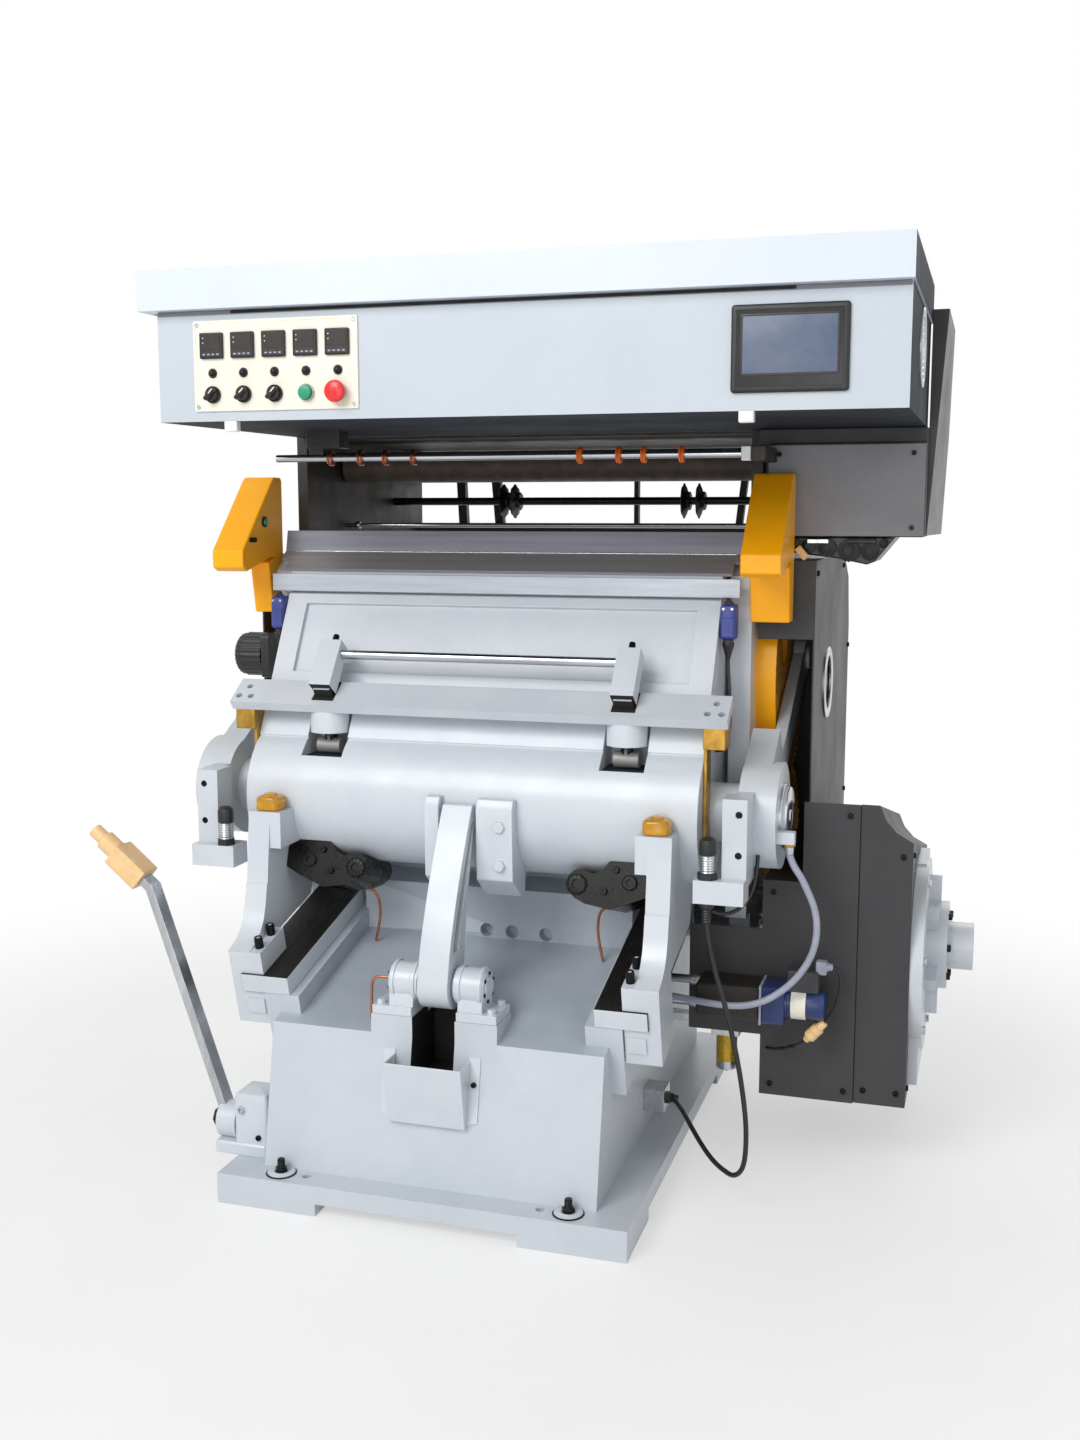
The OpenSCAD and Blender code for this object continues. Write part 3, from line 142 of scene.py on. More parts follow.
# Finishes, under the record's slot names.
finishes = {
    # Two-pack enamel sprayed on filled castings: even blue-grey, soft gloss, faint orange peel.
    "grey_paint": coat("castEnamelBlueGrey", "#CED4DA", "#C6CDD4", (0.30, 0.42), 140, 0.05,
                       sockets=enamelSkin, grain=2.2),
    # Powder coat on folded sheet: flatter and more even than the enamel.
    "hood_paint": coat("sheetPowderCoatGrey", "#BFC7CF", "#BBC3CC", (0.36, 0.46), 260, 0.03),
    "lid_paint": coat("sheetPowderCoatPale", "#D3DBE5", "#CFD7E1", (0.34, 0.44), 260, 0.03),
    # Charcoal powder coat with a satin sheen, showing broad handling smears.
    "charcoal_paint": coat("sheetPowderCoatCharcoal", "#424244", "#3C3C3E", (0.42, 0.56), 220, 0.04,
                           sockets=dullSkin),
    "black_paint": coat("sheetPowderCoatBlack", "#1B1C1E", "#151617", (0.30, 0.46), 200, 0.05),
    # Brown rust-proofed steel plate, dull.
    "brown_steel": coat("phosphatedSteelBrown", "#332E2A", "#272320", (0.42, 0.58), 70, 0.08, 0.3),
    # Ground cast iron under old slide oil: dark with streaks along the travel.
    "oiled_iron": coat("groundIronOiled", "#45413C", "#2C2926", (0.18, 0.40), 26, 0.10, 0.7, (1, 0.12, 0.4)),
    # Turned or milled steel: fine tool marks and a bright satin.
    "bright_steel": coat("turnedSteelBright", "#C9CBCE", "#AEB1B5", (0.20, 0.34), 18, 0.06, 1.0,
                         (1, 0.2, 0.2)),
    # Stainless sheet brushed along the machine's width: long streaks, strong reflections.
    "polished_steel": coat("brushedStainless", "#D2D3D6", "#A9ACB1", (0.16, 0.30), 9, 0.04, 1.0, alongWidth,
                           {"Anisotropic": 0.5}),
    # Moulded ABS with a fine spark-eroded texture.
    "black_plastic": coat("mouldedAbsBlack", "#1A1B1D", "#131415", (0.36, 0.50), 40, 0.08),
    # Gloss enamel on the guard arms, warm and a little uneven.
    "yellow_paint": coat("glossEnamelYellow", "#FFB40A", "#FFAA04", (0.30, 0.42), 120, 0.05, grain=2.4,
                         sockets={"Specular IOR Level": 0.3, "Coat Weight": 0.08, "Coat Roughness": 0.15}),
    # Yellow-passivated zinc plate: gold with brown and green-gold clouds.
    "gold_zinc": coat("zincPassivatedGold", "#C39A45", "#9A7430", (0.26, 0.42), 30, 0.05, 0.85),
    # Motor enamel and moulded nylon, both blue: the enamel deeper and glossier.
    "blue_paint": coat("motorEnamelBlue", "#22356B", "#1B2B59", (0.26, 0.38), 60, 0.05),
    "blue_plastic": coat("mouldedNylonBlue", "#39458E", "#313C7E", (0.36, 0.48), 40, 0.06),
    # Clear amber polycarbonate: lets some light in, with a glossy skin.
    "amber_plastic": coat("mouldedPolycarbonateAmber", "#FFD23A", "#F8C21E", (0.08, 0.18), 30, 0.02,
                          grain=3.0, sockets={"Transmission Weight": 0.7, "IOR": 1.45}),
    "cream_plastic": coat("mouldedNylonCream", "#EFCB98", "#E5BD86", (0.38, 0.52), 40, 0.06),
    "orange_plastic": coat("turnedNylonOrange", "#F07A22", "#E06A15", (0.36, 0.48), 30, 0.05),
    # Painted aluminium panel, warm white and satin.
    "panel_white": coat("paintedAluminiumWarmWhite", "#EDE9DC", "#E6E1D2", (0.34, 0.44), 120, 0.03),
    # Glossy moulded buttons.
    "green_plastic": coat("mouldedPushButtonGreen", "#1FA073", "#178B63", (0.24, 0.34), 20, 0.03),
    "red_plastic": coat("mouldedPushButtonRed", "#E5302F", "#D22524", (0.22, 0.32), 20, 0.03),
    # Rubber ground to size, and cord jackets with an extruded skin.
    "dark_rubber": coat("groundRubberBrown", "#5A4E47", "#4B413B", (0.50, 0.66), 30, 0.10),
    "grey_rubber": coat("extrudedPvcGrey", "#A6A9B8", "#989CAC", (0.34, 0.46), 30, 0.06),
    "black_rubber": coat("extrudedPvcBlack", "#1A1A1B", "#111112", (0.34, 0.48), 30, 0.06),
}
# Finishes that no solid has.
drawnCopper = coat("drawnCopperTube", "#C98665", "#A9684B", (0.24, 0.40), 14, 0.06, 1.0)
whiteNylon = coat("mouldedNylonWhite", "#F1F2F3", "#E8E9EA", (0.36, 0.48), 30, 0.04)
# Glass over the dark display, grey-blue in a broad cloud as painted reflection.
screenReflectionGlass = coat("displayGlassPaintedReflection", "#6C7588", "#53617A", (0.22, 0.30), 110, 0.0, grain=6.0,
                   sockets={"Specular IOR Level": 0.2})
smokedLens = coat("smokedAcrylicLens", "#3F3A36", "#332E2B", (0.22, 0.32), 20, 0.0, sockets=dullSkin,
                  grain=6.0)
# Near-black painted shade in recesses, grooves and gaps, and on thin plates that stand for slots seen only as
# shade.
slotShadow = coat("paintedRecessShadeBlack", "#0B0B0C", "#060606", (0.6, 0.8), 20, 0.05)
# Dark slate painted shade, on the hood's underside, on the hood's and lid's right ends and in the platen's
# recesses.
shadeSlatePaint = coat("slatePaintedShade", "#2E343C", "#272D34", (0.62, 0.76), 200, 0.04,
                  sockets={"Specular IOR Level": 0.12})
# The castings' enamel in darker copies as painted shade: a shade deeper on the base, and deeper again on its
# deck under the platen.
shadedBaseEnamel = coat("castEnamelBasePaintedShade", "#C6CCD3", "#BFC6CD", (0.30, 0.42), 140, 0.05, sockets=enamelSkin,
                  grain=2.2)
shadedDeckEnamel = coat("castEnamelDeckPaintedShade", "#B2BAC3", "#A8B0BA", (0.30, 0.44), 90, 0.05, sockets=enamelSkin,
                  grain=2.2)
# Mid grey of painted light and shade: a lighter charcoal lit on the foil drive's front, and a dark band of
# shadow under the lid's lip.
litFaceAndShadowGrey = coat("greyPaintedLightAndShadow", "#88888C", "#7E7E83", (0.42, 0.54), 220, 0.04, sockets=dullSkin)
# Stainless sheet brushed along the width, in an even lilac grey of painted shade on the apron, with weak
# reflections.
shadeToneStainless = coat("brushedStainlessPaintedShade", "#83848F", "#767883", (0.40, 0.50), 12, 0.03, 0.2, alongWidth,
                     dullSkin)
# Warmer, lighter brushed stainless: the beam's rollers' own dull finish, and painted light on the apron's
# lower slope, which faces up.
warmStainlessAndLitSlope = coat("brushedStainlessWarmAndLitSlope", "#9A9796", "#8A8989", (0.38, 0.48), 12, 0.03, 0.25, alongWidth,
                     satinSkin)
# Bar ground pale along its length and lightly scratched.
groundBar = coat("groundSteelPale", "#C2C8D0", "#AEB5BE", (0.34, 0.48), 14, 0.05, 0.3, (0.05, 1, 1),
                 satinSkin)
# Cast iron black with slide oil, kept this dark also as painted shade under the platen's journals: wet
# highlights on a rough skin.
oilAndShadeIron = coat("castIronOiledAndPaintedShade", "#0F100E", "#070807", (0.16, 0.40), 22, 0.25, grain=4.0,
                sockets={"Specular IOR Level": 0.22})
oldOil = coat("usedMachineOil", "#E2B428", "#CE9E16", (0.08, 0.16), 30, 0.0, grain=3.0)
blackShaft = coat("blackenedShaft", "#1E1E1F", "#161617", (0.24, 0.34), 60, 0.0, 0.5)
blackOxide = coat("blackOxideScrew", "#242527", "#18191A", (0.30, 0.46), 12, 0.05, 0.8)
print("finishes made:", len(bpy.data.materials))


def place(points):
    # Millimetres from the front edge into the part's metres.
    return np.asarray(points, float) * mm + frontEdge


def unit(vector):
    # A direction of length one.
    return np.asarray(vector, float) / np.linalg.norm(vector)


def leaning(degrees):
    # The direction back along a slope that rises by so many degrees, and the direction up and square to it.
    angle = math.radians(degrees)
    return np.array([0, math.cos(angle), math.sin(angle)]), np.array([0, -math.sin(angle), math.cos(angle)])


def shell(rings):
    # Rows of closed rings become a skin: each ring is joined to the next, and the first and last are capped,
    # unless they are the same ring.
    rows, sides = rings.shape[:2]
    row, side = np.meshgrid(np.arange(rows - 1), np.arange(sides), indexing="ij")
    near, far = row * sides, (row + 1) * sides
    after = (side + 1) % sides
    skin = np.stack([near + side, near + after, far + after, far + side], -1).reshape(-1, 4).tolist()
    if not np.allclose(rings[0], rings[-1]):
        skin.append(np.arange(sides)[::-1].tolist())
        skin.append(np.arange((rows - 1) * sides, rows * sides).tolist())
    return rings.reshape(-1, 3), skin


def across(axis):
    # Two directions square to an axis and to each other.
    axis = np.asarray(axis, float)
    upright = abs(axis[2]) >= 0.9
    first = unit(np.cross(toBack if upright else upward, axis))
    return axis, first, np.cross(axis, first)


def swept(profile, base, axis, sides=40, lobes=0, depth=0.0):
    # A lathe surface: each profile point (radius, distance along the axis) swept round the axis.
    # With lobes, the radius swells and shrinks by depth that many times a turn.
    axis, first, second = across(axis)
    radius, along = np.array(profile, float).T
    angle = np.linspace(0, 2 * np.pi, sides, endpoint=False)
    swell = 1 + depth * np.cos(lobes * angle)
    ring = np.cos(angle)[:, None] * first + np.sin(angle)[:, None] * second
    points = along[:, None, None] * axis + (radius[:, None] * swell)[:, :, None] * ring
    return shell(place(np.asarray(base, float) + points))


def turned(profile, *placing):
    # A lathe solid: a swept profile, carried in to the axis at an end that isn't on it.
    start = [(0, profile[0][1])] if profile[0][0] else []
    end = [(0, profile[-1][1])] if profile[-1][0] else []
    return swept(start + profile + end, *placing)


# The direction of a face's width, of its height and of its normal.
facings = {"front": (toRight, upward, toFront), "back": (toLeft, upward, toBack),
           "right": (toBack, upward, toRight), "left": (toFront, upward, toLeft),
           "top": (toRight, toBack, upward), "under": (toRight, toFront, downward)}


def block(centre, width, height, levels, corner, facing, steps=5, turn=0.0):
    # A rounded rectangle carried out along the facing's normal: each level is (inset, distance out).
    # Turn swings the rectangle about that normal, in degrees.
    wide, tall, out = np.array(facings[facing], float)
    cosine, sine = math.cos(math.radians(turn)), math.sin(math.radians(turn))
    wide, tall = wide * cosine + tall * sine, tall * cosine - wide * sine
    inset, far = np.array(levels, float).T
    angle = (np.arange(4)[:, None] * 90 + np.linspace(0, 90, steps)[None, :]).ravel() * np.pi / 180
    signX = np.repeat([1, -1, -1, 1], steps)
    signY = np.repeat([1, 1, -1, -1], steps)
    bow = np.maximum(corner - inset, 0.02)[:, None]
    u = (width / 2 - inset[:, None] - bow) * signX + bow * np.cos(angle)
    v = (height / 2 - inset[:, None] - bow) * signY + bow * np.sin(angle)
    points = u[..., None] * wide + v[..., None] * tall + far[:, None, None] * out
    return shell(place(np.asarray(centre, float) + points))


def chamfered(depth, edge):
    # A block's levels with both rims cut off at 45 degrees.
    return [(edge, 0), (0, edge), (0, depth - edge), (edge, depth)]


def smoothPath(points, perSpan):
    # A line through the points by cubic spans whose slope at each point is that of its neighbours' chord.
    points = np.asarray(points, float)
    padded = np.vstack([2 * points[0] - points[1], points, 2 * points[-1] - points[-2]])
    at = np.linspace(0, len(points) - 1, (len(points) - 1) * perSpan + 1)
    span = np.minimum(at.astype(int), len(points) - 2)
    t = (at - span)[:, None]
    a, b, c, d = (padded[span + k] for k in range(4))
    return 0.5 * (2 * b + (c - a) * t + (2 * a - 5 * b + 4 * c - d) * t ** 2
                  + (3 * b - a - 3 * c + d) * t ** 3)


# A direction that no path follows.
aslant = (0.31, 0.83, 0.46)


def tube(path, radius, sides=12):
    # A round section carried along a path, square to it everywhere.
    path = np.asarray(path, float)
    along = np.gradient(path, axis=0)
    along /= np.linalg.norm(along, axis=1)[:, None]
    first = np.cross(along, aslant)
    first /= np.linalg.norm(first, axis=1)[:, None]
    second = np.cross(along, first)
    angle = np.linspace(0, 2 * np.pi, sides, endpoint=False)
    ring = np.cos(angle)[None, :, None] * first[:, None] + np.sin(angle)[None, :, None] * second[:, None]
    return shell(place(path[:, None] + radius * ring))


def bothSides(parts):
    # Each (shape, finish) part, followed by its mirror image on the machine's other side.
    paired = []
    for (points, skin), finish in parts:
        paired += [((points, skin), finish), ((points * np.array([-1, 1, 1]), skin), finish)]
    return paired


# Welds in metres and angles in degrees: below "flat" faces join, above "sharp" edges show and above "round"
# a solid's edges are rounded.
meshing = {"weld": 1e-6, "solidWeld": 2e-5, "flat": 0.5, "sharp": 34, "round": 33, "segments": 3}


def piece(name, body, parts, stands=()):
    # Parts are (shape, finish) pairs. They become one mesh, with a finish for each part and outward faces.
    points, skin, index, materials = [], [], [], []
    count = 0
    for (shapePoints, shapeFaces), finish in parts:
        material = finishes.get(finish, finish)
        if material not in materials:
            materials.append(material)
        skin += [[corner + count for corner in face] for face in shapeFaces]
        index += [materials.index(material)] * len(shapeFaces)
        points.append(shapePoints)
        count += len(shapePoints)
    mesh = bpy.data.meshes.new(name)
    mesh.from_pydata(np.vstack(points).tolist(), [], skin)
    mesh.polygons.foreach_set("material_index", np.array(index, np.int32))
    for material in materials:
        mesh.materials.append(material)
    work = bmesh.new()
    work.from_mesh(mesh)
    bmesh.ops.remove_doubles(work, verts=work.verts, dist=meshing["weld"])
    bmesh.ops.recalc_face_normals(work, faces=work.faces)
    work.to_mesh(mesh)
    work.free()
    mesh.shade_smooth()
    mesh.set_sharp_from_angle(angle=math.radians(meshing["sharp"]))
    made = linked(name, mesh)
    if body:
        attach(made, body)
    if stands:
        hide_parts(*stands)
    return made


def softened(node, width, places):
    # A merged copy of a solid, its flat faces joined and its sharp edges rounded, in the solid's finish.
    # Places give another finish to the faces whose middles lie in a box, given by its low and high corners.
    # A box counts on both sides of the machine, by the distance from its middle plane.
    source = nodes[node].data
    source.calc_loop_triangles()
    points = np.empty(len(source.vertices) * 3, np.float32)
    source.vertices.foreach_get("co", points)
    corners = np.empty(len(source.loop_triangles) * 3, np.int32)
    source.loop_triangles.foreach_get("vertices", corners)
    mesh = bpy.data.meshes.new(node + "Soft")
    mesh.from_pydata(points.reshape(-1, 3).tolist(), [], corners.reshape(-1, 3).tolist())
    work = bmesh.new()
    work.from_mesh(mesh)
    bmesh.ops.remove_doubles(work, verts=work.verts, dist=meshing["solidWeld"])
    bmesh.ops.dissolve_limit(work, angle_limit=math.radians(meshing["flat"]), verts=work.verts,
                             edges=work.edges)
    work.to_mesh(mesh)
    work.free()
    middles = np.empty(len(mesh.polygons) * 3, np.float32)
    mesh.polygons.foreach_get("center", middles)
    middles = (middles.reshape(-1, 3) - frontEdge) / mm
    middles[:, 0] = np.abs(middles[:, 0])
    index = np.zeros(len(mesh.polygons), np.int32)
    mesh.materials.append(finishes[slotOf[node]])
    for finish, low, high in places:
        inside = ((middles > low) & (middles < high)).all(1)
        mesh.materials.append(finishes.get(finish, finish))
        index[inside] = len(mesh.materials) - 1
    mesh.polygons.foreach_set("material_index", index)
    mesh.shade_smooth()
    made = linked(node + "Soft", mesh)
    edge = made.modifiers.new("edge", "BEVEL")
    edge.width = width * mm
    edge.segments = meshing["segments"]
    edge.limit_method = "ANGLE"
    edge.angle_limit = math.radians(meshing["round"])
    edge.harden_normals = True
    edge.use_clamp_overlap = True
    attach(made, bodyOf[node])
    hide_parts(node)


def cordPiece(name, route, radius, slot, bodies, stands=()):
    # A cord as a tube along its route. With two bodies it rides neither, and its mesh is baked where it lies.
    path = smoothPath(route, 5)
    bends = len(bodies) > 1
    made = piece(name, None if bends else bodies[0], [(tube(path, radius, 16), slot)], stands)
    if bends:
        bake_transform(made)


# Cords first. Cable, hose and lead follow the solids' routes; the loop is only here.
cordRoutes = {
    "cable": [(519, 245, 634), (519, 244, 600), (524, 242, 560), (538, 240, 500), (560, 237, 430),
              (581, 233, 350), (597, 229, 270), (606, 226, 200), (606, 226, 140), (598, 231, 105),
              (580, 244, 86), (556, 264, 86), (530, 290, 92), (502, 325, 104), (472, 368, 120),
              (444, 415, 132), (420, 455, 136), (402, 474, 136), (396, 474, 136)],
    "hose": [(660, 361, 733.8), (660, 361, 716), (669, 364, 690), (685, 367, 664), (698, 370, 636),
             (710, 372, 606), (716, 372, 574), (715, 372, 540), (707, 372, 508), (692, 372, 478),
             (671, 371, 450), (645, 369, 426), (615, 368, 406), (582, 368, 394), (548, 370, 389),
             (514, 374, 388), (482, 381, 388), (452, 390, 388), (424, 398, 388), (400, 402, 388),
             (379.2, 402, 388)],
    "lead": [(508, 496, 1108), (508, 496, 1084), (509, 494, 1060), (512, 490, 1030), (515, 484, 1000),
             (517, 478, 970), (517, 472, 940), (514, 468, 915), (506, 466, 900), (491, 466, 896)],
    "loop": [(527, 249, 617), (536, 256, 612), (547, 265, 608), (560, 276, 608), (573, 288, 613),
             (584, 300, 623), (592, 312, 637), (597, 324, 654), (599, 335, 673), (600, 343, 692),
             (600, 350, 709)],
}
leftLead = [(-x, y, z) for x, y, z in cordRoutes["lead"]]
cordPiece("sensorCable", cordRoutes["cable"], 5, "black_rubber", ["carriage", "frame"], ["sensor_cable"])
cordPiece("greyHose", cordRoutes["hose"], 7, "grey_rubber", ["carriage", "frame"], ["grey_hose"])
cordPiece("switchLeadRight", cordRoutes["lead"], 4, "black_rubber", ["platen"], ["switch_cables"])
cordPiece("switchLeadLeft", leftLead, 4, "black_rubber", ["platen"], ["switch_cables"])
cordPiece("sensorLoop", cordRoutes["loop"], 4, "black_rubber", ["carriage"])

# Solids that keep their shape: a finish for each.
for name, solid in nodes.items():
    solid.data.materials.clear()
    solid.data.materials.append(finishes[slotOf[name]])

# Faces with another finish than their solid's. A box whose X begins at -1 reaches across the middle.
otherFinish = {
    # The base and its deck in darker copies of the enamel as painted shade, and painted shade in the base's
    # slot.
    "base_casting": [(shadedBaseEnamel, (-1, -10, -10), (700, 1200, 600)),
                     (shadedDeckEnamel, (-1, 200, 360), (330, 520, 470)),
                     (slotShadow, (-1, 118, 255), (46, 240, 348))],
    "slide_rails": [("grey_paint", (-1, 100, 395), (440, 140, 440)),
                    ("grey_paint", (322.5, 100, 380), (325.5, 700, 580))],
    # The oiled blocks black as painted shade under the journals, their front plates grey.
    "slide_shoes": [(oilAndShadeIron, (-1, 100, 300), (460, 500, 720)),
                    ("grey_paint", (-1, 130, 320), (460, 170, 412))],
    # Painted shade on the hood's underside and right end, and on the lid's right end.
    "hood_body": [(shadeSlatePaint, (-1, 50, 1540), (900, 690, 1555)),
                  (shadeSlatePaint, (879.5, 50, 1540), (890, 690, 1770))],
    "hood_lid": [(shadeSlatePaint, (883, 20, 1755), (890, 700, 1840))],
    # The drive's front in a lighter grey as painted light.
    "foil_drive_box": [(litFaceAndShadowGrey, (540, 595, 1325), (900, 599, 1530)),
                       ("black_paint", (590, 610, 1265), (840, 790, 1332))],
    "clutch_housing": [("charcoal_paint", (1008, 690, 380), (1016, 810, 510))],
    # Painted shade in the platen's recesses.
    "platen_casting": [(shadeSlatePaint, (280, 316, 864), (376, 420, 906))],
    "beam_rollers": [(warmStainlessAndLitSlope, (-1, 330, 860), (400, 410, 902.5)),
                     ("grey_paint", (-1, 320, 914), (400, 415, 1010)),
                     (blackOxide, (-1, 340, 902.5), (400, 400, 914))],
    # Painted shade under the clamps' feet.
    "rod_clamps": [(slotShadow, (-1, 328, 985), (360, 350, 1011.5))],
    "throw_lever": [("grey_paint", (438, 85, 75), (490, 175, 165))],
    # Painted shade in the guide arm's groove.
    "guide_arm": [(slotShadow, (20, 100, 480), (24, 320, 800))],
    "trip_bar": [(groundBar, (-1, 440, 1180), (620, 640, 1270))],
    # Painted shade and light on the apron: the sheet darker, its lower slope lighter.
    "apron": [(shadeToneStainless, (-1, 500, 1200), (600, 620, 1400)),
              (warmStainlessAndLitSlope, (-1, 500, 1254), (600, 572, 1290))],
}
# Castings and sheet covers get rounded edges of this width.
edgeRounds = {"base_casting": 7, "slide_rails": 1.5, "drip_tray": 2, "bed_frame": 5, "heating_plate": 1.5,
              "pillow_blocks": 3, "column_guard": 2, "gear_guards": 2, "flywheel_guard": 2,
              "clutch_housing": 4, "hood_body": 1.5, "hood_lid": 1.8, "foil_drive_box": 5, "side_panel": 3,
              "foil_frame": 1.5, "guard_arms": 8, "lever_bracket": 4, "saddles": 6, "slide_shoes": 5,
              "connecting_rods": 4, "sensor_brackets": 3, "platen_casting": 5, "apron": 1.2, "beam": 2.5,
              "rod_clamps": 2, "end_brackets": 1.5, "guide_bracket": 4, "trip_bar": 1.2, "guide_arm": 4,
              "throw_lever": 2, "lever_grip": 4, "filter_regulator": 2, "beam_rollers": 2}
for node, width in edgeRounds.items():
    softened(node, width, otherFinish.get(node, ()))
print("edges rounded on", len(edgeRounds), "solids")


def capScrew(base, axis, radius, height):
    # Socket-head screw: a round head with a turned rim and a socket sunk in its top.
    return turned([(radius, 0), (radius, 0.8 * height), (0.88 * radius, height), (0.5 * radius, height),
                   (0.46 * radius, 0.45 * height)], base, axis, 20)


def screws(spots, axis, radius, height, finish=blackOxide):
    # The same socket-head screw at each spot, as parts.
    return [(capScrew(spot, axis, radius, height), finish) for spot in spots]


def hexHead(base, axis, radius, height):
    # Six-sided head with its upper corners turned off.
    return turned([(radius, 0), (radius, 0.82 * height), (0.86 * radius, height)], base, axis, 6)


def ring(inner, outer, thick, base, axis, lip=1.5, sides=48):
    # A flat ring with its outer rims turned off.
    return swept([(inner, 0), (outer, 0), (outer, thick - lip), (outer - lip, thick), (inner + lip, thick),
                  (inner, thick - lip), (inner, 0)], base, axis, sides)


def plainRod(base, radius, length, chamfer=1.5):
    # A round bar along the machine's width with turned ends.
    return turned([(radius - chamfer, 0), (radius, chamfer), (radius, length - chamfer),
                   (radius - chamfer, length)], base, toRight, 36)


def thread(radius, length, pitch, begin):
    # A profile that steps in and out along its length, for screw threads.
    along = np.arange(begin, begin + length, pitch / 2)
    return [(radius - 0.5 * pitch * 0.6 * (k % 2), float(z)) for k, z in enumerate(along)]


def boltCircle(centre, radius, start, count=6):
    # Points evenly round an axis that runs along the machine's width, from a start angle in degrees.
    x, y, z = centre
    turns = [math.radians(360 / count * k + start) for k in range(count)]
    return [(x, y + radius * math.cos(turn), z + radius * math.sin(turn)) for turn in turns]


# Control panel on the hood's front: five columns of a meter, a lamp and a selector or a button.
panelSet = {"centre": (-282, 59, 1656.5), "size": (340, 169), "pitch": 65, "selectors": 3, "face": 56,
            "meterZ": 1694, "lampZ": 1643, "buttonZ": 1603, "meter": (48, 48), "lens": (40, 27),
            "key": (7.2, 4.6), "screwIn": 8}
face, meterZ, buttonZ = (panelSet[key] for key in ("face", "meterZ", "buttonZ"))
columns = [panelSet["centre"][0] + k * panelSet["pitch"] for k in range(-2, 3)]
selectorColumns, buttonColumns = columns[:panelSet["selectors"]], columns[panelSet["selectors"]:]
panelParts = [(block(panelSet["centre"], *panelSet["size"],
                     [(0, 0), (0, 3.6), (0.8, 4.2), (5, 4.2), (5.6, 3.4)], 4, "front"), "panel_white")]
screwX, screwZ = (length / 2 - panelSet["screwIn"] for length in panelSet["size"])
screwSpots = [(panelSet["centre"][0] + sideX * screwX, face, panelSet["centre"][2] + sideZ * screwZ)
              for sideX in (-1, 1) for sideZ in (-1, 1)]
panelParts += screws(screwSpots, toFront, 4, 2.6, "bright_steel")
piece("controlPanel", "frame", panelParts, ["control_panel"])

instrumentParts = []
for x in columns:
    instrumentParts += [
        (block((x, face, meterZ), *panelSet["meter"], [(0, 0), (0, 5.6), (1.2, 7.2), (2.6, 7.6), (3.4, 6.8)],
               2.5, "front"), "black_plastic"),
        (block((x, 49.6, meterZ + 5), *panelSet["lens"], [(0, -0.6), (0, 0.5), (0.3, 0.95)], 1.5, "front"),
         smokedLens)]
    for k in range(4):
        instrumentParts.append((block((x - 14.4 + 9.6 * k, 49.4, meterZ - 16.5), *panelSet["key"],
                                      [(0.9, -0.4), (0.9, 0.8), (1.5, 1.2)], 1.2, "front"), "grey_rubber"))
    for k in range(2):
        dot = turned([(1.1, -0.3), (1.1, 0.3), (0, 0.5)], (x - 16, 48.8, meterZ + 14 - 9 * k), toFront, 12)
        instrumentParts.append((dot, whiteNylon))
    lampAt = (x, face, panelSet["lampZ"])
    instrumentParts += [
        (turned([(9, 0), (9, 2), (7.6, 3)], lampAt, toFront), "black_plastic"),
        (turned([(7, 2.4), (6.8, 5), (5.7, 7.9), (3.5, 9.8), (1.5, 10.4), (0, 10.5)], lampAt, toFront),
         blackShaft),
        (ring(13.35, 16, 6, (x, face, buttonZ), toFront, 0.9),
         "black_plastic" if x in selectorColumns else "bright_steel")]
piece("panelInstruments", "frame", instrumentParts, ["panel_instruments"])

for k, x in enumerate(selectorColumns):
    name = "selector_%d" % (k + 1)
    # A ribbed skirt, a grip set across it and a white line on the grip.
    piece(name + "Knob", name, [
        (turned([(13, 0), (13, 5), (12.2, 8), (11, 10.6), (9.5, 11.4), (0, 11.6)], (x, 55.2, buttonZ),
                toFront, 48, 24, 0.012), "black_plastic"),
        (block((x, 45, buttonZ), 9.5, 29, [(0.5, 0), (0, 2), (0.6, 9.5), (1.8, 12), (3, 12.6)], 4.4, "front",
               5, -45), "black_plastic"),
        (block((x + 5.4, 32.5, buttonZ + 5.4), 1.9, 12, [(0, -0.5), (0, 0.3), (0.3, 0.5)], 0.9, "front", 3,
               -45), whiteNylon)], [name])
buttonSets = {
    "start_button": ("green_plastic", [(13, 0), (13, 5.8), (12.2, 7.2), (10.8, 7.6), (0, 7)]),
    "stop_button": ("red_plastic", [(12.6, 0), (12.6, 7.4), (18.6, 8.6), (20.4, 10.6), (20.4, 13.6),
                                    (19, 17.4), (14.5, 20), (7, 21), (0, 21.2)])}
for x, (name, (slot, profile)) in zip(buttonColumns, buttonSets.items()):
    piece(name + "Cap", name, [(turned(profile, (x, 51.2, buttonZ), toFront, 48), slot)], [name])

# Touch panel with its glass, whose grey-blue is painted reflection.
touchSet = {"centre": (681, 59, 1656.5), "size": (200, 147), "glass": (681, 51.7, 1662.5),
            "border": (168, 103), "screen": (160, 95)}
piece("touchPanel", "frame", [
    (block(touchSet["centre"], *touchSet["size"], [(0, 0), (0, 4.6), (1.2, 6.8), (3.4, 8), (9, 8), (10, 7.2)],
           6, "front"), "black_plastic"),
    (block(touchSet["glass"], *touchSet["border"], [(0, -0.6), (0, 0.6), (0.8, 0.9), (3, 0.9), (3.6, 0.2)], 3,
           "front"), smokedLens),
    (block(touchSet["glass"], *touchSet["screen"], [(0, -0.4), (0, 0.3), (0.4, 0.45)], 1, "front"),
     screenReflectionGlass)],
    ["touch_panel"])

# On the hood: a dark grey band and a black slot under the lid's lip as painted shadow, white stops, round
# vent at the right end with a black disc of painted shade behind it.
hoodSet = {"shadowBand": (175.5, 59, 1755.4), "shadowBandSize": (1408, 8), "slot": (158.5, 59, 1756),
           "slotSize": (1063, 6), "stopsX": (-380, 608), "stopSize": (27, 18), "vent": (881, 366, 1681.5),
           "wires": (14, 26, 38, 50), "wireRadius": 1.4}
